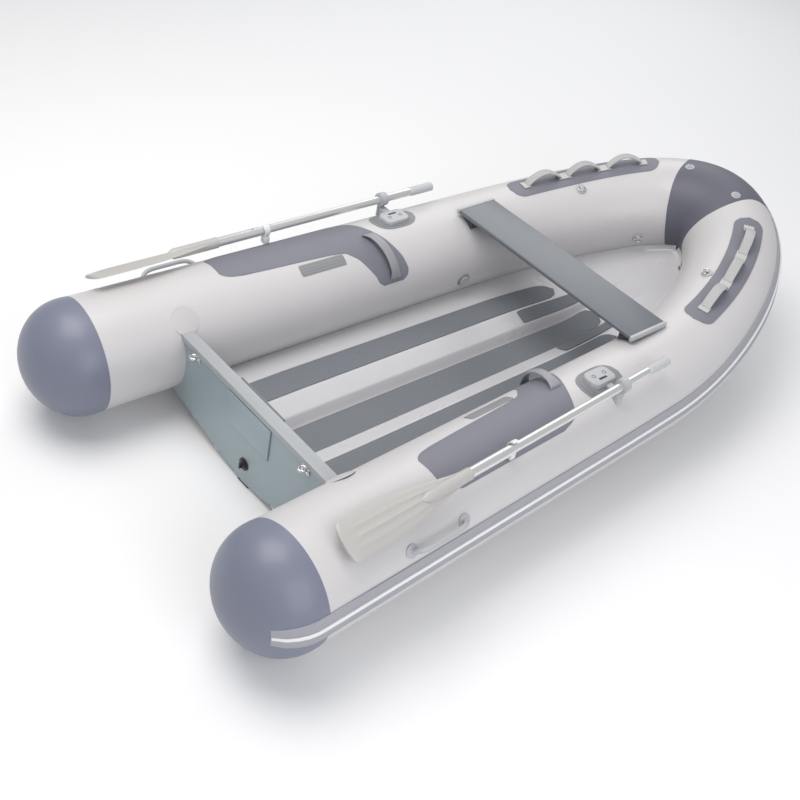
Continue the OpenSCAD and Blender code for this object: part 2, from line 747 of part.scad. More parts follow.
module rowlock_housings() {
    x0 = rowlock_at[0] - 20;
    y0 = rowlock_at[1] - 48;
    top = ring_point[2] - shaft_r - 4.5;     // the grip clears it when the oar swings in over it
    color("gainsboro") both_sides() difference() {
        union() {
            hull() for (x = [x0 + 26, x0 + 54]) for (y = [y0 + 26, y0 + 94])
                translate([x, y, 150]) cylinder(h = top - 150, r = 26, $fn = 32);
            translate([ring_point[0], ring_point[1], 150]) cylinder(h = ear_z - 150, r = 15);
            translate([x0 + 60, ring_point[1] - 15, 150]) cube([ring_point[0] - x0 - 60, 30, ear_z - 150]);
        }
        tube_core(6 + gap);
        translate([ring_point[0], ring_point[1], 120]) cylinder(h = 200, r = pin_r + fit);
        for (y = [y0 + 32, y0 + 88]) translate([x0 + 34, y, top - 7]) cylinder(h = 20, r = 6);
    }
}

module rowlock_ring(side) {
    color("lightgray") on_side(side) {
        translate([ring_point[0], ring_point[1], ear_z + 0.5 - 18]) cylinder(h = 20, r = pin_r);
    }
    color("lightgray") oar_frame(side) difference() {
        oar_rod(-ring_w / 2, ring_w / 2, ring_r);
        oar_rod(-ring_w, ring_w, collar_r + fit);
    }
}

module oar_collar(side) {
    flange = 5;
    color("gray") oar_frame(side) difference() {
        union() {
            oar_rod(-ring_w / 2 - flange - fit, ring_w / 2 + flange + fit, collar_r);
            for (y = [-ring_w / 2 - flange - fit, ring_w / 2 + fit]) oar_rod(y, y + flange, ring_r - 1);
        }
        oar_rod(-ring_w, ring_w, shaft_r + fit);
    }
}

joint_y = -600;        // forward end of the lower shaft
socket_len = 130;      // overlap of the two shafts
lower_r = shaft_r + fit + 2;
throat_y = blade_len - oar_aft;
button_y = joint_y - 32;
button_r = 4;

module oar_shaft(side) {
    color("silver") oar_frame(side) difference() {
        oar_rod(joint_y - socket_len, oar_fwd - 4, shaft_r);
        oar_rod(joint_y - socket_len - 1, oar_fwd - 8, shaft_r - 2);
        translate([0, button_y, 0]) cylinder(h = 40, r = button_r + fit);
    }
}

module oar_lower(side) {
    color("gainsboro") oar_frame(side) difference() {
        oar_rod(throat_y - 70, joint_y, lower_r);
        oar_rod(throat_y - 71, joint_y + 1, shaft_r + fit);
        translate([0, button_y, 0]) cylinder(h = 40, r = button_r + fit);
    }
}

module oar_button(side) {
    color("gray") oar_frame(side) translate([0, button_y, 4]) {
        cylinder(h = lower_r - 2, r = button_r);
        cylinder(h = 4, r = button_r + 3);
    }
}

module oar_grip(side) {
    color("dimgray") oar_frame(side) difference() {
        oar_rod(oar_fwd - 120, oar_fwd, shaft_r + 3);
        oar_rod(oar_fwd - 121, oar_fwd - 4 + fit, shaft_r + fit);
    }
}

blade_lean = 29;       // lean of the blade, to lie flat on the tube
module blade_outline() {
    l = blade_len;
    w = blade_w / 2;
    polygon([[-20, 0], [-24, -40], [-w * 0.8, -l * 0.42], [-w, -l * 0.66], [-w, -l + 16], [-w + 14, -l],
        [w - 14, -l], [w, -l + 16], [w, -l * 0.66], [w * 0.8, -l * 0.42], [24, -40], [20, 0]]);
}

module oar_blade(side) {
    color("ivory") oar_frame(side) rotate([0, blade_lean, 0]) difference() {
        union() {
            translate([0, throat_y, -4]) linear_extrude(8) blade_outline();
            oar_rod(throat_y - 190, throat_y + 30, lower_r + 3);
            for (x = [-34, 34]) translate([x - 3, -oar_aft + 40, -6.5]) cube([6, blade_len * 0.55, 13]);
            translate([-5, -oar_aft + 30, -8]) cube([10, blade_len - 190, 16]);
        }
        oar_rod(throat_y - 70 - gap, throat_y + 31, lower_r + fit);
    }
}

// Clip on the tube: open on its outboard side, so that the oar can swing out.
clip_y = -575;
module oar_clips() {
    color("white") both_sides() difference() {
        union() {
            translate(ring_point) rotate([0, 0, oar_yaw]) rotate([oar_pitch, 0, 0]) {
                oar_rod(clip_y - 12, clip_y + 12, lower_r + 7);
                translate([-lower_r - 7, clip_y - 12, -60]) cube([30, 24, 50]);
            }
        }
        translate(ring_point) rotate([0, 0, oar_yaw]) rotate([oar_pitch, 0, 0]) {
            oar_rod(clip_y - 20, clip_y + 20, lower_r + 2);
            translate([2, clip_y - 20, -lower_r - 2]) cube([60, 40, 2 * lower_r + 4 + 40]);
        }
        tube_core(gap + patch_thick + gap);
    }
}

place() hull_shell();
place() deck_liner();
place() floor_pads();
place() keel_guard();
place() hull_stringers();
place() transom_board();
place() transom_cap();
place() motor_pad_inner();
place() motor_pad_outer();
place() transom_eyes();
place() eye_bolts();
place() drain_socket();
place() drain_plug();
place() bow_eye();
place() aft_tubes();
place() fore_tubes();
place() bow_tube();
place() aft_cones();
place() tube_baffles();
place() rub_band();
place() rub_bead();
place() side_patches();
place() label_plates();
place() grab_handles();
place() loop_patches();
place() loop_handles();
place() side_handles();
place() bow_eyelets();
place() ring_bases();
place() d_ring(0, -1, upper_ring_rest);  // d_ring_upper_port
place() d_ring(0, 1, upper_ring_rest);  // d_ring_upper_starboard
place() d_ring(1, -1, lower_ring_rest);  // d_ring_lower_port
place() d_ring(1, 1, lower_ring_rest);  // d_ring_lower_starboard
place() valve_bodies();
place() valve_cap(0);  // valve_cap_port
place() valve_cap(1);  // valve_cap_starboard
place() valve_cap(2);  // valve_cap_bow
place() valve_poppet(0);  // valve_poppet_port
place() valve_poppet(1);  // valve_poppet_starboard
place() valve_poppet(2);  // valve_poppet_bow
place() seat_board();
place() seat_end_caps();
place() seat_brackets();
place() rowlock_bases();
place() rowlock_housings();
place() rowlock_ring(-1);  // rowlock_ring_port
place() rowlock_ring(1);  // rowlock_ring_starboard
place() oar_collar(-1);  // oar_collar_port
place() oar_collar(1);  // oar_collar_starboard
place() oar_clips();
place() oar_blade(-1);  // oar_blade_port
place() oar_blade(1);  // oar_blade_starboard
place() oar_lower(-1);  // oar_lower_port
place() oar_lower(1);  // oar_lower_starboard
place() oar_shaft(-1);  // oar_shaft_port
place() oar_shaft(1);  // oar_shaft_starboard
place() oar_grip(-1);  // oar_grip_port
place() oar_grip(1);  // oar_grip_starboard
place() oar_button(-1);  // oar_button_port
place() oar_button(1);  // oar_button_starboard
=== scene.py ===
"""Rigid-hull inflatable dinghy: finished pieces and materials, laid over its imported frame."""

import logging
import math
from bisect import bisect_right
from dataclasses import dataclass, field
from enum import Enum
from typing import Callable, Sequence

import bmesh
import bpy
from mathutils import Matrix, Vector


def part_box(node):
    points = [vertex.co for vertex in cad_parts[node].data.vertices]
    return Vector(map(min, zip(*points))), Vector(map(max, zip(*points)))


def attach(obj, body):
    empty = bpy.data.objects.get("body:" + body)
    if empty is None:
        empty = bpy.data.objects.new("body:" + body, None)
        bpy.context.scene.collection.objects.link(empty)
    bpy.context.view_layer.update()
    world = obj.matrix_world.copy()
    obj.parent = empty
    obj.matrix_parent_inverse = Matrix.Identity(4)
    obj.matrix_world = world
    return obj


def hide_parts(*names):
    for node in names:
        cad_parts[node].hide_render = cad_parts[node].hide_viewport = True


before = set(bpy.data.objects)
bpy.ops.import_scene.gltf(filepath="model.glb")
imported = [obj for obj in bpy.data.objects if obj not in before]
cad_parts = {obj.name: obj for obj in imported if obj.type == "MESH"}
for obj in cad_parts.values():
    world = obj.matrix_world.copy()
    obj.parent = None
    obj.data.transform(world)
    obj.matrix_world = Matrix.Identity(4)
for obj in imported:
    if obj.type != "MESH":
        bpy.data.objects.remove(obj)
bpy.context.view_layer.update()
LOG = logging.getLogger("dinghy")
SIDES: tuple[tuple[str, int], ...] = (("starboard", 1), ("port", -1))
Place = Callable[[float, float, float], Vector]
RING_UP = 0.241       # rowlock ring above the tube axis
SHAFT_R = 0.016       # radius of the oar shaft
BOND = 0.0004         # clearance between bonded pieces


def blend(a: float, b: float, t: float) -> float:
    """Value between a and b at the share t."""
    return a + (b - a) * t


def ease(t: float) -> float:
    """Smooth step of t, held between 0 and 1."""
    t = max(0.0, min(1.0, t))
    return t * t * (3 - 2 * t)


def table(x: float, rows: Sequence[tuple[float, float]]) -> float:
    """Straight-line lookup.

    Args:
        x: the value looked up.
        rows: pairs of (x, y) with rising x.

    Returns:
        y at x, held at the ends.
    """
    i = bisect_right([r[0] for r in rows], x)
    if i == 0:
        return rows[0][1]
    if i == len(rows):
        return rows[-1][1]
    (a, b), (c, d) = rows[i - 1], rows[i]
    return b + (d - b) * (x - a) / (c - a)


def smooth_table(x: float, rows: Sequence[tuple[float, float]], span: float) -> float:
    """Lookup averaged over x - span to x + span, which rounds the corners of the table."""
    return sum(table(x + span * k / 3, rows) for k in range(-3, 4)) / 7


# ---------------------------------------------------------------- finishes


class Grain(Enum):
    """What a surface shows close up."""

    COATED = "coated"        # fine coated cloth
    EMBOSSED = "embossed"    # pebbled wear patch
    WOVEN = "woven"          # strap weave
    RIBBED = "ribbed"        # lengthways ribs
    MOULDED = "moulded"      # spark-eroded plastic
    GELCOAT = "gelcoat"      # polished moulding
    PAINTED = "painted"      # brushed paint
    METAL = "metal"          # drawn metal


@dataclass(frozen=True)
class Finish:
    """One surface finish and the node material that shows it."""

    name: str
    color: tuple[float, float, float]
    grain: Grain
    rough: float = 0.5
    metal: float = 0.0
    coat: float = 0.0
    bump: float = 0.25
    vary: float = 0.06
    dirt: float = 0.05
    slot: str = ""

    def material(self) -> bpy.types.Material:
        """Returns the material, made on first use."""
        found = bpy.data.materials.get(f"{self.name}_finish")
        return found or self._make()

    def _make(self) -> bpy.types.Material:
        """Builds the node tree.

        Returns:
            The new material.
        """
        mat = bpy.data.materials.new(f"{self.name}_finish")
        mat.use_nodes = True
        tree = mat.node_tree
        shader = tree.nodes["Principled BSDF"]
        shader.inputs["Metallic"].default_value = self.metal
        shader.inputs["Coat Weight"].default_value = self.coat
        shader.inputs["Coat Roughness"].default_value = 0.18
        place = tree.nodes.new("ShaderNodeTexCoord")
        cloud = self._noise(tree, place, 3.2, 5)
        fleck = self._noise(tree, place, 90.0, 3)
        tone = tree.nodes.new("ShaderNodeMix")
        tone.data_type = "RGBA"
        light = [min(1.0, c * (1 + self.vary)) for c in self.color]
        dark = [c * (1 - self.vary) for c in self.color]
        tone.inputs[6].default_value = (*dark, 1)
        tone.inputs[7].default_value = (*light, 1)
        tree.links.new(cloud.outputs["Fac"], tone.inputs[0])
        grime = tree.nodes.new("ShaderNodeMapRange")
        grime.inputs["From Min"].default_value = 0.56
        grime.inputs["From Max"].default_value = 0.78
        grime.inputs["To Max"].default_value = self.dirt
        tree.links.new(fleck.outputs["Fac"], grime.inputs["Value"])
        worn = tree.nodes.new("ShaderNodeMix")
        worn.data_type = "RGBA"
        worn.inputs[7].default_value = (*[c * 0.45 for c in self.color], 1)
        tree.links.new(grime.outputs["Result"], worn.inputs[0])
        tree.links.new(tone.outputs[2], worn.inputs[6])
        tree.links.new(worn.outputs[2], shader.inputs["Base Color"])
        rough = tree.nodes.new("ShaderNodeMapRange")
        rough.inputs["To Min"].default_value = max(0.03, self.rough - 0.07)
        rough.inputs["To Max"].default_value = min(1.0, self.rough + 0.07)
        tree.links.new(cloud.outputs["Fac"], rough.inputs["Value"])
        tree.links.new(rough.outputs["Result"], shader.inputs["Roughness"])
        self._relief(tree, place, shader)
        return mat

    @staticmethod
    def _noise(tree: bpy.types.NodeTree, place: bpy.types.Node, scale: float, detail: float) -> bpy.types.Node:
        """Adds a noise texture on the object's own coordinates and returns it."""
        node = tree.nodes.new("ShaderNodeTexNoise")
        node.inputs["Scale"].default_value = scale
        node.inputs["Detail"].default_value = detail
        tree.links.new(place.outputs["Object"], node.inputs["Vector"])
        return node

    def _relief(self, tree: bpy.types.NodeTree, place: bpy.types.Node, shader: bpy.types.Node) -> None:
        """Adds the grain's bump.

        Args:
            tree: the material's node tree.
            place: its texture coordinates.
            shader: the shader that takes the normal.
        """
        bump = tree.nodes.new("ShaderNodeBump")
        bump.inputs["Strength"].default_value = self.bump
        if self.grain in (Grain.WOVEN, Grain.RIBBED):
            wave = tree.nodes.new("ShaderNodeTexWave")
            wave.bands_direction = "Y" if self.grain is Grain.RIBBED else "X"
            wave.wave_profile = "SIN"
            wave.inputs["Scale"].default_value = 26.0 if self.grain is Grain.RIBBED else 80.0
            wave.inputs["Distortion"].default_value = 0.0 if self.grain is Grain.RIBBED else 1.4
            tree.links.new(place.outputs["UV"], wave.inputs["Vector"])
            tree.links.new(wave.outputs["Fac"], bump.inputs["Height"])
            bump.inputs["Distance"].default_value = 0.0012
        elif self.grain in (Grain.EMBOSSED, Grain.COATED):
            cell = tree.nodes.new("ShaderNodeTexVoronoi")
            cell.feature = "SMOOTH_F1"
            cell.inputs["Scale"].default_value = 420.0 if self.grain is Grain.EMBOSSED else 900.0
            tree.links.new(place.outputs["Object"], cell.inputs["Vector"])
            tree.links.new(cell.outputs["Distance"], bump.inputs["Height"])
            bump.inputs["Distance"].default_value = 0.0008 if self.grain is Grain.EMBOSSED else 0.0004
        else:
            scale = {Grain.MOULDED: 700.0, Grain.GELCOAT: 18.0, Grain.PAINTED: 130.0, Grain.METAL: 320.0}[self.grain]
            fine = self._noise(tree, place, scale, 4)
            tree.links.new(fine.outputs["Fac"], bump.inputs["Height"])
            bump.inputs["Distance"].default_value = 0.0012 if self.grain is Grain.GELCOAT else 0.0003
        tree.links.new(bump.outputs["Normal"], shader.inputs["Normal"])


TUBE = Finish("tube_fabric", (0.575, 0.558, 0.562), Grain.COATED, 0.42, coat=0.12, bump=0.18, vary=0.035, dirt=0.03)
BOW = Finish("bow_fabric", (0.112, 0.112, 0.145), Grain.COATED, 0.5, bump=0.25, vary=0.08)
CONE = Finish("cone_fabric", (0.178, 0.19, 0.252), Grain.COATED, 0.42, coat=0.1, bump=0.2, vary=0.05)
PATCH = Finish("patch_fabric", (0.185, 0.187, 0.222), Grain.EMBOSSED, 0.55, bump=0.5, vary=0.06)
TAPE = Finish("seam_tape", (0.55, 0.533, 0.538), Grain.COATED, 0.45, bump=0.2, vary=0.03, slot="tube_fabric")
STRAKE = Finish("strake_rubber", (0.335, 0.33, 0.365), Grain.MOULDED, 0.45, bump=0.2)
BEAD = Finish("bead_white", (0.78, 0.79, 0.80), Grain.MOULDED, 0.35, bump=0.15)
DECK = Finish("deck_gelcoat", (0.585, 0.58, 0.597), Grain.GELCOAT, 0.26, coat=0.35, bump=0.06, vary=0.03)
HULL = Finish("hull_gelcoat", (0.66, 0.67, 0.68), Grain.GELCOAT, 0.2, coat=0.5, bump=0.05, vary=0.03)
NONSKID = Finish("nonskid", (0.165, 0.178, 0.198), Grain.RIBBED, 0.6, bump=0.8, vary=0.06)
TRANSOM = Finish("transom_paint", (0.29, 0.36, 0.39), Grain.PAINTED, 0.32, coat=0.3, bump=0.12, vary=0.05)
CAP = Finish("cap_plastic", (0.37, 0.385, 0.4), Grain.MOULDED, 0.35, bump=0.15)
MOTOR_PAD = Finish("motor_pad", (0.16, 0.18, 0.19), Grain.RIBBED, 0.5, bump=0.8)
STEEL = Finish("stainless", (0.70, 0.70, 0.71), Grain.METAL, 0.22, metal=1.0, bump=0.06, vary=0.03)
BLACK = Finish("black_plastic", (0.03, 0.03, 0.034), Grain.MOULDED, 0.45, bump=0.25)
PLATE = Finish("label_plastic", (0.24, 0.245, 0.255), Grain.RIBBED, 0.35, coat=0.2, bump=0.6)
WEBBING = Finish("webbing", (0.52, 0.515, 0.51), Grain.WOVEN, 0.7, bump=0.9, vary=0.1)
STRAP = Finish("strap_rubber", (0.3, 0.305, 0.325), Grain.MOULDED, 0.45, bump=0.3)
GREY = Finish("grey_plastic", (0.42, 0.43, 0.45), Grain.MOULDED, 0.38, bump=0.25)
WHITE = Finish("white_plastic", (0.7, 0.71, 0.71), Grain.MOULDED, 0.35, bump=0.15)
SEAT = Finish("seat_paint", (0.12, 0.133, 0.152), Grain.PAINTED, 0.36, coat=0.25, bump=0.15, vary=0.04)
IVORY = Finish("ivory_plastic", (0.45, 0.437, 0.42), Grain.MOULDED, 0.36, bump=0.2, vary=0.05)
ENDS = Finish("seat_end_plastic", (0.46, 0.47, 0.48), Grain.MOULDED, 0.4, bump=0.2, slot="ivory_plastic")
GRIP = Finish("grip_plastic", (0.50, 0.51, 0.52), Grain.MOULDED, 0.42, slot="dark_rubber")
BASE = Finish("rowlock_base", (0.235, 0.24, 0.255), Grain.MOULDED, 0.5, slot="dark_rubber")
VALVE = Finish("valve_grey", (0.27, 0.28, 0.30), Grain.MOULDED, 0.4, bump=0.25)
RING_PATCH = Finish("ring_patch", (0.47, 0.465, 0.475), Grain.MOULDED, 0.45, slot="strap_rubber")
SHAFT = Finish("oar_alu", (0.80, 0.80, 0.79), Grain.METAL, 0.3, metal=0.85, bump=0.08, vary=0.03)
RUBBER = Finish("dark_rubber", (0.055, 0.056, 0.062), Grain.MOULDED, 0.5, bump=0.3)
KEEL = Finish("keel_rubber", (0.05, 0.05, 0.055), Grain.RIBBED, 0.6, bump=0.5)
PLY = Finish("marine_ply", (0.42, 0.30, 0.17), Grain.PAINTED, 0.5, bump=0.3, vary=0.15)
FLOOR = Finish("studio_floor", (0.86, 0.86, 0.865), Grain.PAINTED, 0.75, bump=0.0, vary=0.0, dirt=0.0)


# ---------------------------------------------------------------- tube geometry


@dataclass
class TubeLine:
    """Centreline and radius of the buoyancy tube, by signed distance s from the bow; starboard is positive."""

    stern_half: float = 0.627
    mid_half: float = 0.556
    straight_len: float = 1.724
    bow_len: float = 1.117
    bow_handle: float = 0.738
    bow_blunt: float = 0.238
    bow_rise: float = 0.194
    stern_drop: float = 0.020
    r_stern: float = 0.215
    r_mid: float = 0.204
    r_bow: float = 0.208
    cone_len: float = 0.195
    stern_y: float = -1.090
    base: float = 0.280
    runs: list[tuple[float, float]] = field(default_factory=list)

    def __post_init__(self) -> None:
        """Works out the derived lengths and the table of distance against curve parameter."""
        self.mid_y = self.stern_y + self.straight_len
        self.bow_y = self.mid_y + self.bow_len
        self.toe = math.atan2(self.stern_half - self.mid_half, self.straight_len)
        self.straight_run = math.hypot(self.stern_half - self.mid_half, self.straight_len)
        run, last = 0.0, self.bow_point(1.0)
        self.runs.append((0.0, 1.0))
        for i in range(1, 61):
            point = self.bow_point(1 - i / 60)
            run += (point - last).length
            last = point
            self.runs.append((run, 1 - i / 60))
        self.curve_run = run
        self.seam_run = run + self.straight_run
        tip = self.stern_y - self.cone_len * math.cos(self.toe)
        self.middle = (self.bow_y + self.r_bow + tip) / 2

    def bow_point(self, q: float) -> Vector:
        """Point of the bow curve at q, 0 at its start and 1 at the bow."""
        a, h = 1 - q, self.bow_handle
        rise = self.bow_rise * q * q * (3 - 2 * q) + self.stern_drop / self.straight_len * 3 * h * q * a * a
        return Vector((a**3 * self.mid_half + 3 * a * a * q * (self.mid_half - h * math.sin(self.toe))
                       + 3 * a * q * q * self.bow_blunt,
                       a**3 * self.mid_y + 3 * a * a * q * (self.mid_y + h * math.cos(self.toe))
                       + (3 * a + q) * q * q * self.bow_y, rise))

    def centre(self, s: float) -> Vector:
        """Centre of the tube at s, in the hull's own frame."""
        a = abs(s)
        k = (a - self.curve_run) / self.straight_run
        p = (self.bow_point(table(a, self.runs)) if a < self.curve_run else
             Vector((blend(self.mid_half, self.stern_half, k), self.mid_y - self.straight_len * k,
                     -self.stern_drop * k)))
        return Vector((math.copysign(p.x, s), p.y, p.z))

    def radius(self, s: float) -> float:
        """Radius of the tube at s."""
        a = abs(s)
        if a < self.curve_run:
            return blend(self.r_mid, self.r_bow, ease(table(a, self.runs)))
        if a < self.seam_run:
            return blend(self.r_mid, self.r_stern, (a - self.curve_run) / self.straight_run)
        return self.r_stern * math.sqrt(max(0.0, 1 - ((a - self.seam_run) / self.cone_len) ** 2))

    def normal(self, s: float, phi: float) -> Vector:
        """Outward normal: phi is 0 outboard, 90 on top and 180 inboard."""
        t = (self.centre(s + 0.012) - self.centre(s - 0.012)).normalized()
        out = Vector((-t.y, t.x, 0)).normalized()
        up = out.cross(t)
        up = -up if up.z < 0 else up
        r = math.radians(phi)
        return out * math.cos(r) + up * math.sin(r)

    def at(self, s: float, phi: float, lift: float = 0.0) -> Vector:
        """Point at the height lift above the fabric, in the row's frame."""
        return self.row(self.centre(s) + self.normal(s, phi) * (self.radius(s) + lift))

    def row(self, p: Vector | tuple[float, float, float]) -> Vector:
        """Moves a point of the hull's own frame to the row's frame."""
        return Vector(p) + Vector((0, -self.middle, self.base))

    def seat(self, s: float, phi: float, lift: float = 0.0) -> Matrix:
        """Frame on the fabric: Z out of the tube, X along it towards larger s."""
        z = self.normal(s, phi)
        t = self.centre(s + 0.012) - self.centre(s - 0.012)
        x = (t - z * t.dot(z)).normalized()
        m = Matrix((x, z.cross(x), z)).transposed().to_4x4()
        m.translation = self.at(s, phi, lift)
        return m

    def flange(self, y: float, phi: float) -> float:
        """Distance along the straight tube at which its surface at phi crosses y."""
        r = math.radians(phi)
        return self.curve_run + (self.mid_y - y) / math.cos(self.toe) + self.r_stern * math.cos(r) * math.tan(self.toe)


LINE = TubeLine()
MIRROR = Matrix.Diagonal((-1, 1, 1, 1))


# ---------------------------------------------------------------- mesh making


def finish_piece(bm: bmesh.types.BMesh, name: str, look: Finish, body: str, stands_for: Sequence[str] = (),
                 smooth: float = 35.0, slot: str = "") -> bpy.types.Object:
    """Makes the finished piece from its bmesh.

    Args:
        bm: the closed shape, in the row's frame; it is freed.
        name: the piece's name.
        look: its finish.
        body: the body it rides on.
        stands_for: the nodes it replaces.
        smooth: edges sharper than this angle, in degrees, stay sharp.
        slot: a slot name for the piece, when it is not the finish's own name; not used.

    Returns:
        The new object.
    """
    bmesh.ops.remove_doubles(bm, verts=bm.verts, dist=1e-6)
    bmesh.ops.recalc_face_normals(bm, faces=bm.faces)
    mesh = bpy.data.meshes.new(name)
    limit = math.radians(smooth)
    for face in bm.faces:
        face.smooth = True
    for edge in bm.edges:
        if len(edge.link_faces) == 2 and edge.calc_face_angle(0.0) > limit:
            edge.smooth = False
    bm.to_mesh(mesh)
    bm.free()
    mesh.materials.append(look.material())
    piece = bpy.data.objects.new(name, mesh)
    bpy.context.scene.collection.objects.link(piece)
    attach(piece, body)
    if stands_for:
        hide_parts(*stands_for)
    slot or look.slot or look.name
    LOG.info("%s: %d faces", name, len(mesh.polygons))
    return piece


def grid(bm: bmesh.types.BMesh, nu: int, nv: int, place: Place, thick: float | None,
         size: tuple[float, float] = (1.0, 1.0)) -> list[bmesh.types.BMVert]:
    """Adds a surface, or a slab of even thickness, over u and v from 0 to 1.

    Args:
        bm: the bmesh it goes into.
        nu: faces along u.
        nv: faces along v.
        place: point for u, v and the height above the surface.
        thick: the slab's thickness; None makes an open surface.
        size: length in metres along u and v, for the UV map.

    Returns:
        Its vertices.
    """
    uv = bm.loops.layers.uv.verify()
    made = bmesh.ops.create_grid(bm, x_segments=nu, y_segments=nv, size=0.5)["verts"]
    faces = list({f for v in made for f in v.link_faces})
    for face in faces:
        for loop in face.loops:
            loop[uv].uv = ((loop.vert.co.x + 0.5) * size[0], (loop.vert.co.y + 0.5) * size[1])
    if thick is not None:
        top = bmesh.ops.extrude_face_region(bm, geom=faces, use_keep_orig=True)["geom"]
        raised = [g for g in top if isinstance(g, bmesh.types.BMVert)]
        bmesh.ops.translate(bm, vec=(0, 0, thick), verts=raised)
        made = made + raised
    for v in made:
        v.co = place(v.co.x + 0.5, v.co.y + 0.5, v.co.z)
    return made


def both_sides(bm: bmesh.types.BMesh) -> None:
    """Adds a mirrored copy of everything across the centreline."""
    copy = bmesh.ops.duplicate(bm, geom=bm.verts[:] + bm.edges[:] + bm.faces[:])["geom"]
    bmesh.ops.transform(bm, matrix=MIRROR, verts=[g for g in copy if isinstance(g, bmesh.types.BMVert)])
    bmesh.ops.reverse_faces(bm, faces=[g for g in copy if isinstance(g, bmesh.types.BMFace)])


def loops_closed(bm: bmesh.types.BMesh) -> None:
    """Joins meeting edges and closes the open ends."""
    bmesh.ops.remove_doubles(bm, verts=bm.verts, dist=1e-5)
    bmesh.ops.dissolve_degenerate(bm, dist=1e-6, edges=bm.edges)
    bmesh.ops.holes_fill(bm, edges=[e for e in bm.edges if e.is_boundary], sides=0)


def box(bm: bmesh.types.BMesh, low: Vector, high: Vector, soft: float, where: Matrix = Matrix.Identity(4),
        rounds: int = 3) -> list[bmesh.types.BMVert]:
    """Adds a block with rounded edges.

    Args:
        bm: the bmesh it goes into.
        low: its lowest corner in its own frame.
        high: its highest corner.
        soft: the radius of its edges.
        where: its frame.
        rounds: segments of each rounded edge.

    Returns:
        Its vertices.
    """
    verts = bmesh.ops.create_cube(bm, size=1.0)["verts"]
    low, high = Vector(low), Vector(high)
    bmesh.ops.scale(bm, vec=high - low, verts=verts)
    bmesh.ops.translate(bm, vec=(low + high) / 2, verts=verts)
    edges = list({e for v in verts for e in v.link_edges})
    kept = set(bm.verts) - set(verts)
    if soft:
        bmesh.ops.bevel(bm, geom=edges, offset=soft, offset_type="OFFSET", segments=rounds, profile=0.5,
                        affect="EDGES", material=-1, clamp_overlap=True)
    verts = [v for v in bm.verts if v not in kept]
    bmesh.ops.transform(bm, matrix=where, verts=verts)
    return verts


def hull_box(bm: bmesh.types.BMesh, low: Sequence[float], high: Sequence[float], soft: float) -> None:
    """Adds a block with rounded edges, its corners given in the hull's own frame."""
    box(bm, LINE.row(low), LINE.row(high), soft)


def turned(bm: bmesh.types.BMesh, profile: Sequence[tuple[float, float]], where: Matrix, steps: int = 32) -> None:
    """Adds a solid of revolution.

    Args:
        bm: the bmesh it goes into.
        profile: pairs of (radius, height) from the lower end of the axis to the upper.
        where: frame whose Z is the axis.
        steps: faces round it.
    """
    before = set(bm.verts)
    verts = [bm.verts.new((r, 0, z)) for r, z in profile]
    edges = [bm.edges.new(pair) for pair in zip(verts, verts[1:])]
    bmesh.ops.spin(bm, geom=verts + edges, cent=(0, 0, 0), axis=(0, 0, 1), angle=2 * math.pi, steps=steps,
                   use_merge=True)
    made = [v for v in bm.verts if v not in before]
    bmesh.ops.remove_doubles(bm, verts=made, dist=1e-6)
    made = [v for v in bm.verts if v not in before]
    rims = {e for v in made for e in v.link_edges if e.is_boundary}
    bmesh.ops.holes_fill(bm, edges=list(rims), sides=0)
    bmesh.ops.transform(bm, matrix=where, verts=[v for v in bm.verts if v not in before])


def tube_along(bm: bmesh.types.BMesh, path: Callable[[float], Vector], wide: float, high: float, steps: int,
               around: int, up: Vector) -> None:
    """Adds a rounded bar along a path.

    Args:
        bm: the bmesh it goes into.
        path: point for u from 0 to 1.
        wide: half width across the up direction.
        high: half height along it.
        steps: faces along the path.
        around: faces round the section.
        up: rough up direction of the section.
    """
    def place(u: float, v: float, _: float) -> Vector:
        """Point on the bar's skin."""
        t = (path(min(1, u + 0.01)) - path(max(0, u - 0.01))).normalized()
        side = t.cross(up).normalized()
        a = 2 * math.pi * v
        return path(u) + side * (wide * math.cos(a)) + side.cross(t) * (high * math.sin(a))

    grid(bm, steps, around, place, None)


# ---------------------------------------------------------------- buoyancy tube


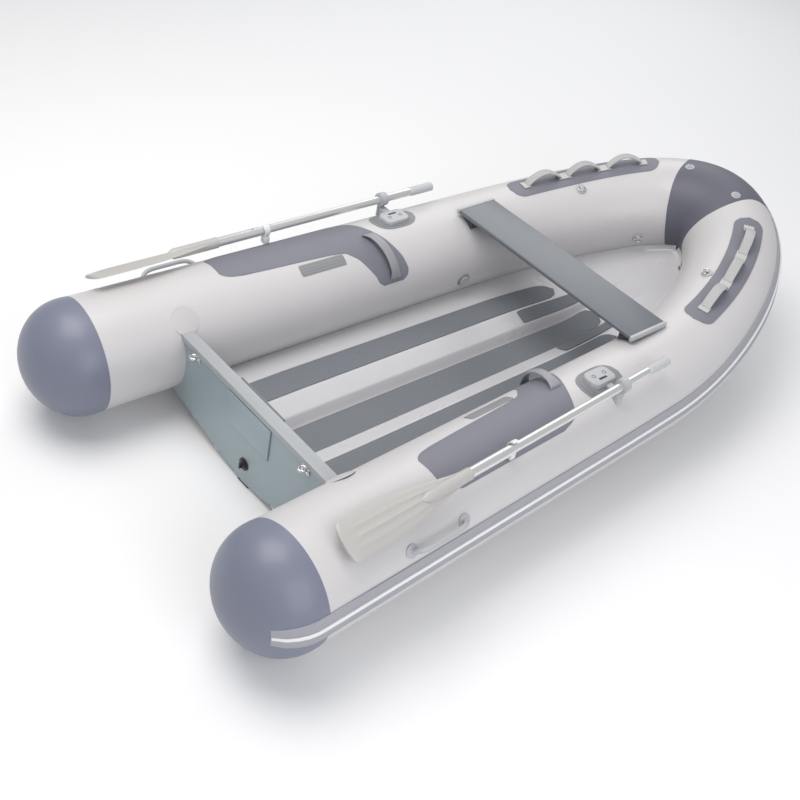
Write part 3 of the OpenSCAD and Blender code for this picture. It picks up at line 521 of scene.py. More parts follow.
@dataclass
class BuoyancyTube:
    """The inflated tube: pale fabric, dark bow section, stern cones and the strake."""

    around: int = 72
    step: float = 0.030
    bow_seam: tuple[tuple[float, float], ...] = (
        (0, 0.150), (60, 0.138), (80, 0.138), (95, 0.150), (110, 0.166), (132, 0.188), (160, 0.205), (190, 0.206),
        (250, 0.180), (360, 0.150))
    strake: tuple[tuple[float, float], ...] = ((0, 28), (0.5, 25), (0.85, 19), (1.15, 10), (1.5, 7), (4, 6))
    on_cone: float = 0.140

    def build(self) -> None:
        """Makes every piece of the tube."""
        self.fabric()
        self.bow_section()
        self.cones()
        self.rub_band()
        self.bead()
        self.tapes()

    def fabric(self) -> None:
        """Makes the two pale lengths."""
        bm = bmesh.new()
        end, start = LINE.seam_run + 0.004, 0.120
        grid(bm, round((end - start) / self.step), self.around,
             lambda u, v, h: LINE.at(blend(start, end, u), 360 * v, 0), None)
        loops_closed(bm)
        both_sides(bm)
        finish_piece(bm, "tube_skin", TUBE, "hull", ("aft_tubes", "fore_tubes"), 50)

    def bow_section(self) -> None:
        """Makes the dark bow section, whose seams curve round the tube."""
        bm = bmesh.new()

        def place(u: float, v: float, _: float) -> Vector:
            """Point on the bow section."""
            reach = smooth_table(360 * v, self.bow_seam, 6)
            return LINE.at(reach * (2 * u - 1), 360 * v, 0.0016 * min(1, 12 * (0.5 - abs(u - 0.5)) + 0.4))

        grid(bm, 26, self.around, place, None)
        loops_closed(bm)
        finish_piece(bm, "bow_skin", BOW, "hull", ("bow_tube",), 50)

    def cones(self) -> None:
        """Makes the stern cones with their lap over the tube."""
        bm = bmesh.new()
        rings = 22

        def place(u: float, v: float, _: float) -> Vector:
            """Point on the cone: first the lap, then an ellipse to the tip."""
            k = max(0.0, (u * (rings + 2) - 2) / rings)
            s = LINE.seam_run - 0.030 * max(0.0, 1 - u * (rings + 2) / 2) + LINE.cone_len * math.sin(math.pi / 2 * k)
            return LINE.row(LINE.centre(s) + LINE.normal(LINE.seam_run - 0.1, 360 * v)
                            * (LINE.r_stern * math.cos(math.pi / 2 * k) + 0.0016 * (u > 0) * (1 - k)
                               + 0.0004 * (u == 0)))

        grid(bm, rings + 2, self.around, place, None)
        loops_closed(bm)
        both_sides(bm)
        finish_piece(bm, "cone_skin", CONE, "hull", ("aft_cones",), 50)

    def _strip(self, name: str, look: Finish, node: str, ring: Sequence[tuple[float, float]]) -> None:
        """Makes a strip along the strake line.

        Args:
            name: the piece's name.
            look: its finish.
            node: the node it stands for.
            ring: closed section as pairs of (degrees from the strake line, height above the fabric).
        """
        bm = bmesh.new()
        end = LINE.seam_run + self.on_cone
        n = len(ring)

        def place(u: float, v: float, _: float) -> Vector:
            """Point on the strip's skin."""
            s = blend(-end, end, u)
            deg, lift = ring[round(v * n) % n]
            tip = min(1.0, (end - abs(s)) / 0.05 + 0.45)
            return LINE.at(s, smooth_table(abs(s), self.strake, 0.15) + deg, 0.0006 + (lift - 0.0006) * tip)

        grid(bm, round(2 * end / self.step), n, place, None)
        loops_closed(bm)
        finish_piece(bm, name, look, "hull", (node,), 40)

    def rub_band(self) -> None:
        """Makes the flat rubber band with a lip along each edge and a hollow either side of the bead."""
        self._strip("strake_band", STRAKE, "rub_band", (
            (-13, 0.0006), (-13, 0.003), (-12.3, 0.0055), (-10.6, 0.006), (-9.6, 0.0042), (-4.5, 0.0042), (-3.8, 0.005),
            (1.8, 0.005), (2.5, 0.0042), (8, 0.0042), (9, 0.0056), (10.4, 0.0052), (11, 0.003), (11, 0.0006)))

    def bead(self) -> None:
        """Makes the white bead on the band."""
        self._strip("strake_bead", BEAD, "rub_bead", (
            (-2.9, 0.0048), (-2.9, 0.0075), (-2.2, 0.0095), (-1, 0.0104), (0.2, 0.0095), (0.9, 0.0075), (0.9, 0.0048)))

    def tapes(self) -> None:
        """Makes the round patches where the transom meets the tube."""
        bm = bmesh.new()
        r = 0.052
        turned(bm, ((0, 0), (r, 0), (r, 0.0006), (r * 0.92, 0.0018), (0, 0.0018)), LINE.seat(2.73, 136, -0.0006), 40)
        both_sides(bm)
        finish_piece(bm, "seam_tapes", TAPE, "hull", (), 50)


# ---------------------------------------------------------------- fabric fittings


@dataclass
class TubeFittings:
    """Patches, plates, handles, eyelets and rings bonded to the tube."""

    fore: tuple[tuple[float, float], ...] = (
        (55, 1.960), (58, 1.895), (64, 1.862), (72, 1.845), (90, 1.812), (110, 1.772), (135, 1.728), (150, 1.713),
        (158, 1.720), (162, 1.748))
    aft: tuple[tuple[float, float], ...] = (
        (55, 2.440), (58, 2.490), (64, 2.518), (98, 2.520), (104, 2.496), (108, 2.430), (110.5, 2.10), (113, 1.985),
        (125, 1.935), (150, 1.876), (158, 1.866), (162, 1.842))
    loops: tuple[tuple[float, float], ...] = ((0.330, 0.497), (0.534, 0.702), (0.738, 0.922))

    def build(self) -> None:
        """Makes every fitting."""
        self.side_patches()
        self.label_plates()
        self.grab_handles()
        self.loop_patches()
        self.loop_handles()
        self.side_handles()
        self.eyelets()
        self.ring_bases()

    def side_patches(self) -> None:
        """Makes the wear patches the oars lie on, each with a leg down the inboard side."""
        bm = bmesh.new()

        def place(u: float, v: float, h: float) -> Vector:
            """Point on the patch."""
            phi = 55 + 107 * v
            s0, s1 = smooth_table(phi, self.fore, 2), smooth_table(phi, self.aft, 2)
            rim = min(1.0, min(u, 1 - u) * 40 + 0.35, min(v, 1 - v) * 40 + 0.35)
            return LINE.at(blend(s0, s1, u), phi, 0.0004 + h * rim)

        grid(bm, 30, 64, place, 0.0018)
        both_sides(bm)
        finish_piece(bm, "wear_patches", PATCH, "hull", ("side_patches",), 60)

    def label_plates(self) -> None:
        """Makes the blank plates inboard of the patches."""
        bm = bmesh.new()

        def place(u: float, v: float, h: float) -> Vector:
            """Point on the plate, with its corners rounded."""
            k = 1 - 0.035 * max(0.0, abs(2 * v - 1) - 0.55) ** 2 / 0.2
            return LINE.at(2.100 + 0.105 * (2 * u - 1) * k, 114 + 13 * v,
                           0.0006 + h * (0.6 + 0.4 * math.sin(math.pi * v)))

        grid(bm, 24, 10, place, 0.0016, (0.210, 0.049))
        both_sides(bm)
        finish_piece(bm, "blank_plates", PLATE, "hull", ("label_plates",), 45)

    def grab_handles(self) -> None:
        """Makes the arched carrying handles on the patches' legs."""
        bm = bmesh.new()

        def place(u: float, v: float, h: float) -> Vector:
            """Point on the strap: flat feet, thick rounded grip."""
            foot = max(0.0, abs(2 * v - 1) - 0.72) / 0.28
            arch = 0.030 * max(0.0, math.sin(math.pi * v)) ** 0.7
            half = blend(0.019, 0.027, foot)
            crown = 0.0035 * (1 - (2 * u - 1) ** 2) * (1 - foot)
            return LINE.at(blend(1.838, 1.788, v) + half * (2 * u - 1), 99 + 58 * v, 0.0024 + arch + (h and h + crown))

        grid(bm, 10, 44, place, 0.0055, (0.05, 0.25))
        both_sides(bm)
        finish_piece(bm, "grab_straps", STRAP, "hull", ("grab_handles",), 50)

    def loop_patches(self) -> None:
        """Makes the long rounded patches under the bow loops."""
        bm = bmesh.new()

        def place(u: float, v: float, h: float) -> Vector:
            """Point on the patch."""
            x = abs(2 * u - 1)
            end = max(0.0, (x - 0.86) / 0.14)
            w = 18 * math.sqrt(max(0.0, 1 - end * end))
            return LINE.at(0.252 + 0.762 * u, 88 + w * (2 * v - 1), 0.0010 + h)

        grid(bm, 72, 12, place, 0.0018)
        loops_closed(bm)
        both_sides(bm)
        finish_piece(bm, "loop_patch_skins", PATCH, "hull", ("loop_patches",), 60)

    def loop_handles(self) -> None:
        """Makes the webbing loops with their stitched feet."""
        bm = bmesh.new()
        for low, high in self.loops:

            def place(u: float, v: float, h: float, low: float = low, high: float = high) -> Vector:
                """Point on the webbing."""
                arch = 0.042 * max(0.0, math.sin(math.pi * u)) ** 0.85
                return LINE.at(blend(low, high, u), 88 + 5.2 * (2 * v - 1) * (1 - 0.12 * math.sin(math.pi * u)),
                               0.0032 + arch + h * (1 + 0.35 * math.sin(math.pi * v)))

            grid(bm, 40, 8, place, 0.0050, (0.20, 0.030))
            for s in (low - 0.004, high + 0.004):
                box(bm, Vector((-0.018, -0.023, 0.0)), Vector((0.018, 0.023, 0.004)), 0.0015, LINE.seat(s, 88, 0.0030))
        both_sides(bm)
        finish_piece(bm, "bow_loops", WEBBING, "hull", ("loop_handles",), 50)

    def side_handles(self) -> None:
        """Makes the moulded bar handles outboard of the stern."""
        bm = bmesh.new()
        where = LINE.seat(2.604, 29, 0.001)

        def path(u: float) -> Vector:
            """Middle of the bar: out of one foot, along, and into the other."""
            x = 0.115 * (2 * u - 1)
            return where @ Vector((x, 0, 0.004 + 0.032 * (1 - abs(2 * u - 1) ** 6)))

        tube_along(bm, path, 0.0100, 0.0085, 48, 16, where.to_3x3() @ Vector((0, 0, 1)))
        loops_closed(bm)
        for x in (-0.115, 0.115):
            turned(bm, ((0, 0), (0.024, 0), (0.024, 0.0025), (0.021, 0.0045), (0.013, 0.0055), (0.010, 0.009),
                        (0, 0.009)),
                   where @ Matrix.Translation((x, 0, -0.0004)), 40)
        both_sides(bm)
        finish_piece(bm, "side_bar_handles", GREY, "hull", ("side_handles",), 45)

    def eyelets(self) -> None:
        """Makes the round eyelets on the bow."""
        bm = bmesh.new()
        for s in (-0.120, 0.120):
            turned(bm, ((0.0, 0.0004), (0.021, 0.0004), (0.021, 0.002), (0.018, 0.0036), (0.0125, 0.0036),
                        (0.0115, 0.0078), (0.009, 0.0086), (0.0055, 0.0082), (0.005, 0.0045), (0.0, 0.0042)),
                   LINE.seat(s, 100, 0.0004), 48)
        finish_piece(bm, "bow_discs", GREY, "hull", ("bow_eyelets",), 45, slot="white_plastic")

    def ring_bases(self) -> None:
        """Makes the round bases of the D-rings, each with the strap that holds the ring."""
        bm = bmesh.new()
        for s, phi in ((0.672, 114.5), (0.380, 195)):
            where = LINE.seat(s, phi, 0.001)
            turned(bm, ((0, 0), (0.0245, 0), (0.0245, 0.0012), (0.021, 0.0028), (0, 0.0030)), where, 48)

            def path(u: float, where: Matrix = where) -> Vector:
                """Middle of the strap over the ring's bar."""
                a = math.pi * u
                return where @ Vector((0, 0.013 * math.cos(a), 0.0026 + 0.0098 * math.sin(a) ** 0.8))

            tube_along(bm, path, 0.0075, 0.0016, 24, 8, where.to_3x3() @ Vector((0, 0, 1)))
            loops_closed(bm)
        both_sides(bm)
        finish_piece(bm, "ring_patches", RING_PATCH, "hull", ("ring_bases",), 45)


# ---------------------------------------------------------------- hull and deck


@dataclass
class HullAndDeck:
    """The moulded hull, the deck liner inside it, its non-skid pads, the keel guard and the bow eye."""

    keel: float = 0.275
    wall: float = 0.003
    forefoot: float = 0.650
    hull_phi: float = 232.0
    deck_phi: float = 217.0
    deck_depth: float = 0.125
    well_depth: float = 0.075
    well_half: float = 0.078
    stem_s: float = 0.060
    transom_y: float = -0.772
    transom_thick: float = 0.040

    def build(self) -> None:
        """Makes every piece."""
        self.shell()
        self.liner()
        self.pads()
        self.keel_guard()

    def keel_z(self, y: float) -> float:
        """Height of the keel at y."""
        stem = LINE.centre(0) + LINE.normal(0, 232) * (LINE.radius(0) + 0.0004)
        k = max(0.0, (y - self.forefoot) / (stem.y - self.forefoot))
        return -self.keel + (self.keel + stem.z) * k**2.2

    def edge(self, s: float, phi: float, lift: float) -> Vector:
        """Point on the tube in the hull's own frame."""
        return LINE.centre(s) + LINE.normal(s, phi) * (LINE.radius(s) + lift)

    def shell(self) -> None:
        """Makes the hull's skin with two spray rails a side."""
        bm = bmesh.new()
        aft = LINE.flange(self.transom_y, self.hull_phi)

        def place(u: float, v: float, h: float) -> Vector:
            """Point on the skin; h is the height above its underside."""
            e = self.edge(blend(aft, 0.012, u), self.hull_phi, 0.0004 + 0.85 * self.wall)
            f = abs(2 * v - 1)
            k = self.keel_z(e.y)
            rail = sum(max(0.0, 1 - abs(f - at) / 0.022) for at in (0.38, 0.70)) * 0.007 * ease((1 - u) * 2.2)
            return LINE.row((e.x * (2 * v - 1), e.y, k + (e.z - k) * f**1.15 - rail * (h == 0) + h))

        grid(bm, 70, 90, place, self.wall)
        finish_piece(bm, "hull_skin", HULL, "hull", ("hull_shell",), 30)

    def deck_z(self, x: float, s: float) -> float:
        """Height of the deck at x off the centreline, on the row that meets the tube at s."""
        e = self.edge(s, self.deck_phi, BOND)
        k = ease((e.y - 0.900) / 0.500)
        level = blend(-self.deck_depth, e.z - 0.020, k)
        rows = ((0, -self.well_depth), (self.well_half, -self.well_depth),
                (self.well_half + 0.022, -self.well_depth * 0.4),
                (self.well_half + 0.100, 0), (1, 0))
        t = min(1.0, abs(x) / e.x) ** 8
        shape = smooth_table(abs(x) * max(1.0, 0.430 / e.x), rows, 0.004)
        return (level + shape * (1 - k)) * (1 - t) + e.z * t

    def columns(self) -> list[float]:
        """Distances off the centreline of the deck's columns, as shares of the half width where it is 430 mm."""
        w = self.well_half
        near = [0.0, 0.3 * w, 0.6 * w, w - 0.008]
        for c in (w, w + 0.022, w + 0.100):
            near += [c - 0.004, c - 0.001, c + 0.001, c + 0.004, c + 0.008]
        near += [w + 0.045, w + 0.070]
        far = [w + 0.100 + (0.430 - w - 0.100) * k
               for k in (0.15, 0.3, 0.45, 0.6, 0.7, 0.78, 0.84, 0.89, 0.93, 0.96, 0.98, 1)]
        return sorted(set(near + far))

    def liner(self) -> None:
        """Makes the deck liner with its central well."""
        bm = bmesh.new()
        cols = self.columns()
        n = len(cols) - 1
        aft = LINE.flange(self.transom_y + self.transom_thick + 0.0004, self.deck_phi)

        def place(u: float, v: float, h: float) -> Vector:
            """Point on the liner; h is the height above its underside."""
            s = blend(aft, self.stem_s, u)
            e = self.edge(s, self.deck_phi, BOND)
            j = round(abs(v - 0.5) * 2 * n)
            x = cols[j] / 0.430 * min(e.x, 0.430) if e.x < 0.430 else (
                cols[j] if cols[j] < 0.180 else blend(cols[j], cols[j] / 0.430 * e.x, (cols[j] - 0.180) / 0.250))
            x = e.x if j == n else min(x, e.x)
            return LINE.row((x if v >= 0.5 else -x, e.y, self.deck_z(x, s) - self.wall + h))

        grid(bm, 90, 2 * n, place, self.wall)
        finish_piece(bm, "deck_skin", DECK, "hull", ("deck_liner",), 50)

    def pads(self) -> None:
        """Makes the ribbed non-skid pads with rounded ends."""
        bm = bmesh.new()
        rows: list[tuple[float, float]] = []
        s = LINE.seam_run
        while s > self.stem_s:
            rows.append((self.edge(s, self.deck_phi, BOND).y, s))
            s -= 0.020
        w = self.well_half
        side = tuple((m * (w + 0.165), 0.059, -0.687, 1.020, 0.10) for m in (-1, 1))
        small = tuple((m * (w + 0.061), 0.032, 0.742, 1.100, 0.05) for m in (-1, 1))
        for mid, half, y0, y1, nose in ((0.0, w - 0.006, -0.687, 1.120, 0.06), *side, *small):

            def place(u: float, v: float, h: float, mid: float = mid, half: float = half, y0: float = y0,
                      y1: float = y1, nose: float = nose) -> Vector:
                """Point on the pad."""
                y = blend(y0, y1, u)
                front = max(0.0, 1 - (y1 - y) / nose)
                back = max(0.0, 1 - (y - y0) / 0.02)
                wide = half * math.sqrt(max(0.0, 1 - front**2.4)) * (1 - 0.12 * back * back)
                r = table(y, rows)
                x = (mid + wide * (2 * v - 1)) * min(1.0, self.edge(r, self.deck_phi, BOND).x / 0.430)
                return LINE.row((x, y, self.deck_z(abs(x), r) + 0.0016 + h))

            grid(bm, 70, 8, place, 0.0024, (y1 - y0, 2 * half))
        finish_piece(bm, "pad_strips", NONSKID, "hull", ("floor_pads",), 45)

    def keel_guard(self) -> None:
        """Makes the rubbing strip under the keel."""
        bm = bmesh.new()
        low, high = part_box("keel_guard")
        box(bm, low, high, 0.0018)
        finish_piece(bm, "keel_strip", KEEL, "hull", ("keel_guard",), 40)


# ---------------------------------------------------------------- transom


@dataclass
class Transom:
    """The transom board with its panels, cap, motor pads, lifting eyes and drain."""

    aft: float = -0.772
    thick: float = 0.040
    top: float = 0.098

    def build(self) -> None:
        """Makes every piece."""
        self.panels()
        self.cap()
        self.motor_pads()
        self.eyes()

    def panels(self) -> None:
        """Adds the stepped centre panel and the upright stiffeners to the board's inner face."""
        bm = bmesh.new()
        front = self.aft + self.thick
        low, high = LINE.row((-0.300, front, -0.105)), LINE.row((0.300, front + 0.006, self.top - 0.030))
        box(bm, low, high, 0.003)
        hull_box(bm, (-0.160, front, -0.105), (0.160, front + 0.0125, self.top - 0.045), 0.004)
        for m in (-1, 1):
            for x in (0.215, 0.285):
                hull_box(bm, (m * x - 0.006, front, -0.100), (m * x + 0.006, front + 0.016, 0.045), 0.003)
        finish_piece(bm, "transom_panels", TRANSOM, "hull", (), 40)

    def cap(self) -> None:
        """Makes the edge trim over the board: a flat top with a skirt on each face."""
        bm = bmesh.new()
        low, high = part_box("transom_cap")
        z = high.z
        box(bm, Vector((low.x, low.y, z - 0.024)), Vector((high.x, low.y + 0.0045, z - 0.001)), 0.0015)
        box(bm, Vector((low.x, high.y - 0.0045, z - 0.024)), Vector((high.x, high.y, z - 0.001)), 0.0015)
        box(bm, Vector((low.x, low.y, z - 0.0049)), Vector((high.x, high.y, z)), 0.0022)
        finish_piece(bm, "transom_trim", CAP, "hull", ("transom_cap",), 40)

    def motor_pads(self) -> None:
        """Makes the ribbed wear plates the motor clamps to."""
        for node, name in (("motor_pad_outer", "outer_wear_plate"), ("motor_pad_inner", "inner_wear_plate")):
            bm = bmesh.new()
            low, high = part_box(node)
            box(bm, low, high, 0.0022)
            uv = bm.loops.layers.uv.verify()
            for f in bm.faces:
                for loop in f.loops:
                    loop[uv].uv = (loop.vert.co.x, loop.vert.co.z)
            if node == "motor_pad_outer":
                finish_piece(bm, name, TRANSOM, "hull", (node,), 40, slot="motor_pad")
                continue
            finish_piece(bm, name, MOTOR_PAD, "hull", (node,), 40)
            bm = bmesh.new()
            for m in (-1, 1):
                spot = Matrix.Translation(Vector((m * 0.045, high.y, (low.z + high.z) / 2)))
                turned(bm, ((0, -0.001), (0.006, -0.001), (0.006, 0.001), (0.0045, 0.0024), (0, 0.0028)),
                       spot @ Matrix.Rotation(-math.pi / 2, 4, "X"), 24)
            finish_piece(bm, "wear_plate_bolts", STEEL, "hull", (), 40)

    def eyes(self) -> None:
        """Makes the lifting eyes: a plate and a thick ring."""
        bm = bmesh.new()
        y, z = self.aft - 0.020, self.top - 0.020
        for m in (-1, 1):
            x = 0.327 * m
            hull_box(bm, (x - 0.020, self.aft - 0.005, z - 0.026), (x + 0.020, self.aft - 0.0004, z + 0.008), 0.0015)
            centre = Matrix.Translation(LINE.row((x, y, z)))
            ring = [(0.013 + 0.004 * math.cos(a), 0.005 * math.sin(a)) for a in
                    [2 * math.pi * k / 12 for k in range(12)]]

            def place(u: float, v: float, _: float, centre: Matrix = centre) -> Vector:
                """Point on the ring's skin."""
                r, h = ring[round(v * 12) % 12]
                return centre @ Vector((r * math.cos(2 * math.pi * u), r * math.sin(2 * math.pi * u), h))

            grid(bm, 36, 12, place, None)
            hull_box(bm, (x - 0.010, y + 0.0125, z - 0.0045), (x + 0.010, self.aft - 0.004, z + 0.0045), 0.001)
        finish_piece(bm, "lifting_eyes", STEEL, "hull", ("transom_eyes",), 45)


# ---------------------------------------------------------------- seat


@dataclass
class Seat:
    """The bench seat, its end strips and the rubber holders under its ends."""

    def build(self) -> None:
        """Makes every piece."""
        low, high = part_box("seat_board")
        bm = bmesh.new()
        box(bm, low, high, 0.006, rounds=4)
        finish_piece(bm, "bench", SEAT, "seat", ("seat_board",), 40)
        bm = bmesh.new()
        low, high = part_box("seat_end_caps")
        for m in (-1, 1):
            x0, x1 = (high.x - 0.014, high.x) if m > 0 else (low.x, low.x + 0.014)
            box(bm, Vector((x0, low.y, low.z)), Vector((x1, high.y, high.z)), 0.004, rounds=4)
        finish_piece(bm, "bench_ends", ENDS, "seat", ("seat_end_caps",), 40)


# ---------------------------------------------------------------- rowlocks and oars


@dataclass
class OarSet:
    """One side's rowlock and oar; sizes are in the oar's frame, whose -Y runs aft along it."""

    side: str
    sign: int
    out: float = 0.118
    up: float = RING_UP
    yaw: float = 2.8
    pitch: float = 1.2
    shaft_r: float = SHAFT_R
    aft: float = 1.315
    fwd: float = 0.265
    blade_w: float = 0.136
    blade_len: float = 0.500
    lean: float = 29.0

    def frame(self) -> Matrix:
        """Frame of the starboard oar at its rowlock."""
        p = LINE.centre(LINE.seam_run - 1.412)
        return (Matrix.Translation(LINE.row((p.x + self.out, p.y + 0.020, self.up)))
                @ Matrix.Rotation(math.radians(self.yaw), 4, "Z") @ Matrix.Rotation(math.radians(self.pitch), 4, "X"))

    def _close(self, bm: bmesh.types.BMesh, name: str, look: Finish, body: str, node: str,
               smooth: float = 40.0) -> None:
        """Mirrors a port piece and finishes it.

        Args:
            bm: the shape as on the starboard side.
            name: the piece's name, less its side.
            look: its finish.
            body: its body's name, less its side.
            node: the node it stands for, less its side.
            smooth: angle above which its edges stay sharp, in degrees.
        """
        if self.sign < 0:
            bmesh.ops.transform(bm, matrix=MIRROR, verts=bm.verts)
            bmesh.ops.reverse_faces(bm, faces=bm.faces)
        finish_piece(bm, f"{name}_{self.side}", look, f"{body}_{self.side}", (f"{node}_{self.side}",), smooth)

    def build(self) -> None:
        """Makes the oar's pieces."""
        self.blade()
        self.grip()

    def blade(self) -> None:
        """Makes the blade with its throat, three raised ribs and rounded corners."""
        bm = bmesh.new()
        where = self.frame() @ Matrix.Rotation(math.radians(self.lean), 4, "Y")
        throat = self.blade_len - self.aft
        wide = self.blade_w / 2

        def half(t: float) -> float:
            """Half width at the share t from throat to tip."""
            w = smooth_table(t, ((0, 0.020), (0.08, 0.024), (0.42, wide * 0.82), (0.66, wide), (1.2, wide)), 0.05)
            return w * math.sqrt(max(0.0, 1 - max(0.0, (t - 0.94) / 0.06) ** 2.6))

        def place(u: float, v: float, _: float) -> Vector:
            """Point on the blade's skin, both faces."""
            t = 1.0 - (1.0 - u) ** 1.35
            y = throat + 0.004 - t * (self.blade_len + 0.004)
            a = 2 * math.pi * v
            x = math.copysign(abs(math.cos(a)) ** 0.8, math.cos(a))
            rib = 0.0
            for at, width in ((0.0, 0.07), (0.46, 0.06), (-0.46, 0.06)):
                rib = max(rib, 1 - ((x - at) / width) ** 2) if abs(x - at) < width else rib
            body = 0.0042 * (1 - abs(x) ** 6) + 0.0008
            grow = ease((1 - t) * 6) * ease(t * 6)
            neck = 0.008 * (1 - ease(t * 3.2)) * max(0.0, 1 - (x * 1.6) ** 2)
            z = math.copysign(body + 0.0045 * rib * grow + neck, math.sin(a))
            cup = 0.007 * x * x * ease(t * 2)
            return where @ Vector((half(t) * x, y, (z if abs(math.sin(a)) > 1e-6 else 0.0) - cup))

        grid(bm, 60, 72, place, None)
        loops_closed(bm)
        lower = self.shaft_r + 0.0021
        turned(bm, ((lower + 0.0001, 0.0), (lower + 0.003, 0.003), (lower + 0.003, 0.150), (lower + 0.0022, 0.190),
                    (0.004, 0.220), (0.0, 0.220)),
               self.frame() @ Matrix.Translation((0, throat + 0.030, 0)) @ Matrix.Rotation(math.pi / 2, 4, "X"), 40)
        self._close(bm, "blade", IVORY, "oar", "oar_blade")

    def grip(self) -> None:
        """Makes the waisted hand grip with its end knob."""
        bm = bmesh.new()
        r = self.shaft_r
        rings = [(r + 0.0002, 0.0), (r + 0.0022, 0.002)]
        for k in range(9):
            z = 0.010 + 0.011 * k
            rings += [(r + 0.0030, z), (r + 0.0030, z + 0.007), (r + 0.0020, z + 0.0085), (r + 0.0020, z + 0.0095)]
        rings += [(r + 0.003, 0.112), (r + 0.0028, 0.117), (r - 0.002, 0.1198), (0.0, 0.120)]
        end = self.frame() @ Matrix.Translation((0, self.fwd - 0.120, 0))
        turned(bm, rings, end @ Matrix.Rotation(-math.pi / 2, 4, "X"), 40)
        self._close(bm, "hand_grip", GRIP, "oar", "oar_grip")


@dataclass
class Rowlocks:
    """The rubber bases and moulded housings of both rowlocks, and the oar clips."""

    at: float = 1.6722

    def build(self) -> None:
        """Makes every piece."""
        self.bases()
        self.housings()
        self.clips()

    def bases(self) -> None:
        """Makes the stepped rubber bases."""
        bm = bmesh.new()
        for grow, low, high in ((1.0, 0.0004, 0.0022), (0.86, 0.0022, 0.0042), (0.74, 0.0042, 0.0060)):

            def place(u: float, v: float, h: float, grow: float = grow, low: float = low, high: float = high) -> Vector:
                """Point on one step."""
                x = 2 * u - 1
                w = 19 * max(0.0, 1 - abs(x) ** 3.2) ** 0.5
                return LINE.at(self.at - 0.013 + 0.105 * x * grow, 82 + w * grow * (2 * v - 1),
                               blend(low, high, h / 0.002))

            grid(bm, 36, 14, place, 0.002)
        loops_closed(bm)
        both_sides(bm)
        finish_piece(bm, "rowlock_pads", BASE, "hull", ("rowlock_bases",), 50)

    def housings(self) -> None:
        """Makes the moulded housings with their screw recesses and slot."""
        bm = bmesh.new()
        p = LINE.centre(self.at)
        x0, y0 = p.x - 0.020, p.y - 0.048
        top = RING_UP - SHAFT_R - 0.0045
        verts = bmesh.ops.create_cone(bm, cap_ends=True, segments=48, radius1=0.0275, radius2=0.0255,
                                      depth=top - 0.190)["verts"]
        for v in verts:
            v.co.x += math.copysign(0.014, v.co.x) * min(1.0, abs(v.co.x) / 0.004)
            v.co.y += math.copysign(0.034, v.co.y) * min(1.0, abs(v.co.y) / 0.004)
        rim = [e for v in verts if v.co.z > 0 for e in v.link_edges if all(w.co.z > 0 for w in e.verts)]
        bmesh.ops.translate(bm, vec=LINE.row((x0 + 0.040, y0 + 0.060, (top + 0.190) / 2)), verts=verts)
        bmesh.ops.bevel(bm, geom=list(set(rim)), offset=0.005, segments=4, profile=0.5, affect="EDGES")
        ring = OarSet("starboard", 1).frame().translation
        turned(bm, ((0.0065, -0.048), (0.015, -0.048), (0.015, -0.003), (0.013, 0), (0.0065, 0)),
               Matrix.Translation(Vector((ring.x, ring.y, LINE.base + self.ear_z()))), 32)
        hull_box(bm, (x0 + 0.060, p.y + 0.005, 0.170), (p.x + 0.110, p.y + 0.035, self.ear_z() - 0.002), 0.004)
        both_sides(bm)
        finish_piece(bm, "rowlock_blocks", GREY, "hull", ("rowlock_housings",), 35)
        bm = bmesh.new()
        for y in (y0 + 0.032, y0 + 0.088):
            spot = Matrix.Translation(LINE.row((x0 + 0.034, y, top)))
            turned(bm, ((0.0, -0.001), (0.0072, -0.001), (0.0082, 0.0006), (0.0062, 0.0006), (0.0058, -0.0006),
                        (0.0, -0.0006)), spot, 24)
        hull_box(bm, (x0 + 0.050, y0 + 0.040, top - 0.001), (x0 + 0.060, y0 + 0.080, top + 0.0006), 0.0007)
        both_sides(bm)
        finish_piece(bm, "rowlock_screws", BLACK, "hull", (), 35)

    def ear_z(self) -> float:
        """Height of the pin's boss above the tube axis."""
        return RING_UP - (SHAFT_R + 0.006 + 0.0001 + 0.006) - 0.001

    def clips(self) -> None:
        """Makes the hooks that hold the oars, open on their outboard side."""
        bm = bmesh.new()
        where = OarSet("starboard", 1).frame()
        inner, wall, mid = 0.0201, 0.0050, -0.575

        def place(u: float, v: float, h: float) -> Vector:
            """Point on the hook."""
            a = math.radians(90 + 175 * u)
            r = inner + h
            return where @ Vector((r * math.cos(a), mid + 0.012 * (2 * v - 1), r * math.sin(a)))

        grid(bm, 30, 6, place, wall)
        box(bm, Vector((-0.0251, mid - 0.012, -0.052)), Vector((0.005, mid + 0.012, -0.0190)), 0.003, where)
        both_sides(bm)
        finish_piece(bm, "oar_hooks", WHITE, "hull", ("oar_clips",), 40)


# ---------------------------------------------------------------- CAD nodes, stage and camera


def dress_nodes() -> None:
    """Gives every node that stays its finish."""
    looks: dict[str, Finish] = {
        "hull_stringers": PLY, "transom_board": TRANSOM, "eye_bolts": STEEL, "drain_socket": BLACK, "drain_plug": BLACK,
        "bow_eye": STEEL, "tube_baffles": TUBE, "valve_bodies": VALVE, "seat_brackets": RUBBER}
    for name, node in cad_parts.items():
        look = looks.get(name)
        for start, finish in (("d_ring", STEEL), ("valve_cap", GREY), ("valve_poppet", WHITE), ("rowlock_ring", GREY),
                              ("oar_collar", GREY), ("oar_lower", SHAFT), ("oar_shaft", SHAFT), ("oar_button", STEEL)):
            look = finish if name.startswith(start) else look
        if look:
            node.data.materials.clear()
            node.data.materials.append(look.material())


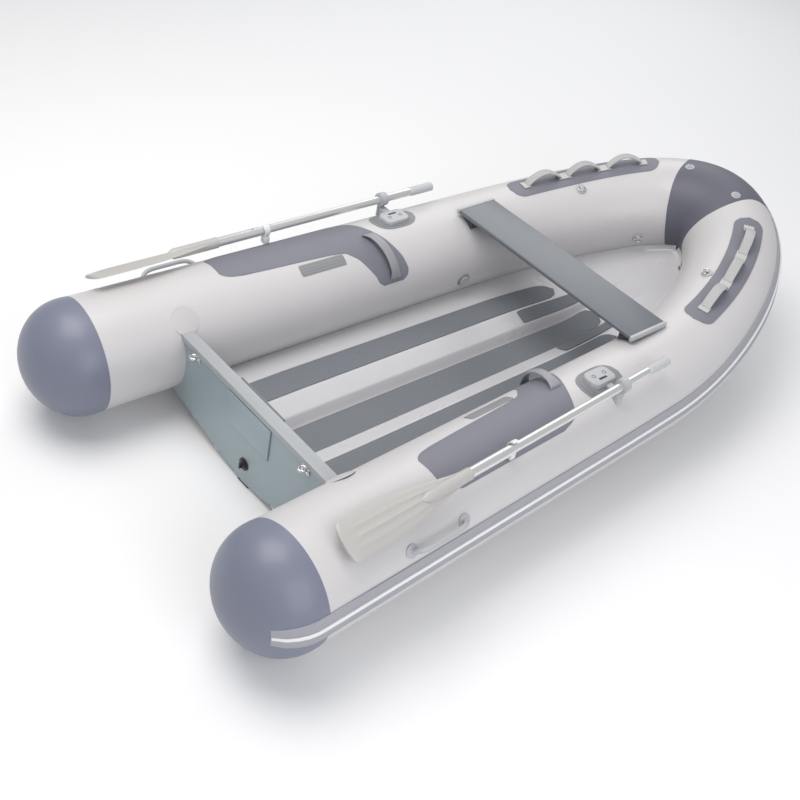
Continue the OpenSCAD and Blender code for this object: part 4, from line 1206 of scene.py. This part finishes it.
@dataclass
class Studio:
    """Plain floor, soft lights and the camera."""

    azimuth: float = 42.269
    elevation: float = 39.364
    roll: float = 12.228
    distance: float = 4.204
    lens: float = 51.75
    target: tuple[float, float, float] = (0.155, -0.211, 0.0)

    def build(self) -> None:
        """Makes the floor, the lights and the camera."""
        bm = bmesh.new()
        bmesh.ops.create_grid(bm, x_segments=1, y_segments=1, size=30)
        mesh = bpy.data.meshes.new("floor")
        bm.to_mesh(mesh)
        bm.free()
        mesh.materials.append(FLOOR.material())
        floor = bpy.data.objects.new("floor", mesh)
        bpy.context.scene.collection.objects.link(floor)
        self.light("key", (-1.2, -1.6, 5.0), 3.6, 185, (1.0, 0.975, 0.95))
        self.light("fill", (4.5, -1.5, 2.6), 4.0, 105, (0.97, 0.98, 1.0))
        self.light("back", (-3.5, 4.5, 4.0), 4.0, 85, (1.0, 1.0, 1.0))
        world = bpy.data.worlds.new("studio")
        bpy.context.scene.world = world
        world.use_nodes = True
        world.node_tree.nodes["Background"].inputs["Color"].default_value = (0.95, 0.97, 1.0, 1)
        world.node_tree.nodes["Background"].inputs["Strength"].default_value = 0.5
        bpy.context.scene.view_settings.view_transform = "Standard"
        self.camera()

    def light(self, name: str, where: tuple[float, float, float], size: float, power: float,
              tint: tuple[float, float, float]) -> None:
        """Adds a square soft light aimed at the boat.

        Args:
            name: its name.
            where: its place.
            size: its side.
            power: its power in watts.
            tint: its colour.
        """
        data = bpy.data.lights.new(name, "AREA")
        data.size, data.energy, data.color = size, power, tint
        lamp = bpy.data.objects.new(name, data)
        lamp.location = where
        lamp.rotation_euler = (Vector((0, 0, 0.3)) - Vector(where)).to_track_quat("-Z", "Y").to_euler()
        bpy.context.scene.collection.objects.link(lamp)

    def camera(self) -> None:
        """Adds the camera, turned by its roll."""
        a, e, r = (math.radians(x) for x in (self.azimuth, self.elevation, self.roll))
        back = Vector((math.sin(a) * math.cos(e), -math.cos(a) * math.cos(e), math.sin(e)))
        right = (-back).cross(Vector((0, 0, 1))).normalized()
        up = right.cross(-back)
        right, up = right * math.cos(r) + up * math.sin(r), up * math.cos(r) - right * math.sin(r)
        turn = Matrix((right, up, back)).transposed().to_4x4()
        data = bpy.data.cameras.new("camera")
        data.lens, data.sensor_width = self.lens, 36.0
        data.clip_end = 100
        cam = bpy.data.objects.new("camera", data)
        turn.translation = LINE.row(self.target) + back * self.distance
        cam.matrix_world = turn
        bpy.context.scene.collection.objects.link(cam)
        bpy.context.scene.camera = cam


def main() -> None:
    """Builds every sub-assembly."""
    logging.basicConfig(level=logging.INFO, format="%(name)s %(message)s")
    for part in (Studio(), BuoyancyTube(), TubeFittings(), HullAndDeck(), Transom(), Seat(), Rowlocks(),
                 *(OarSet(side, sign) for side, sign in SIDES)):
        part.build()
        LOG.info("%s done", type(part).__name__)
    dress_nodes()


if __name__ == "__main__":
    main()
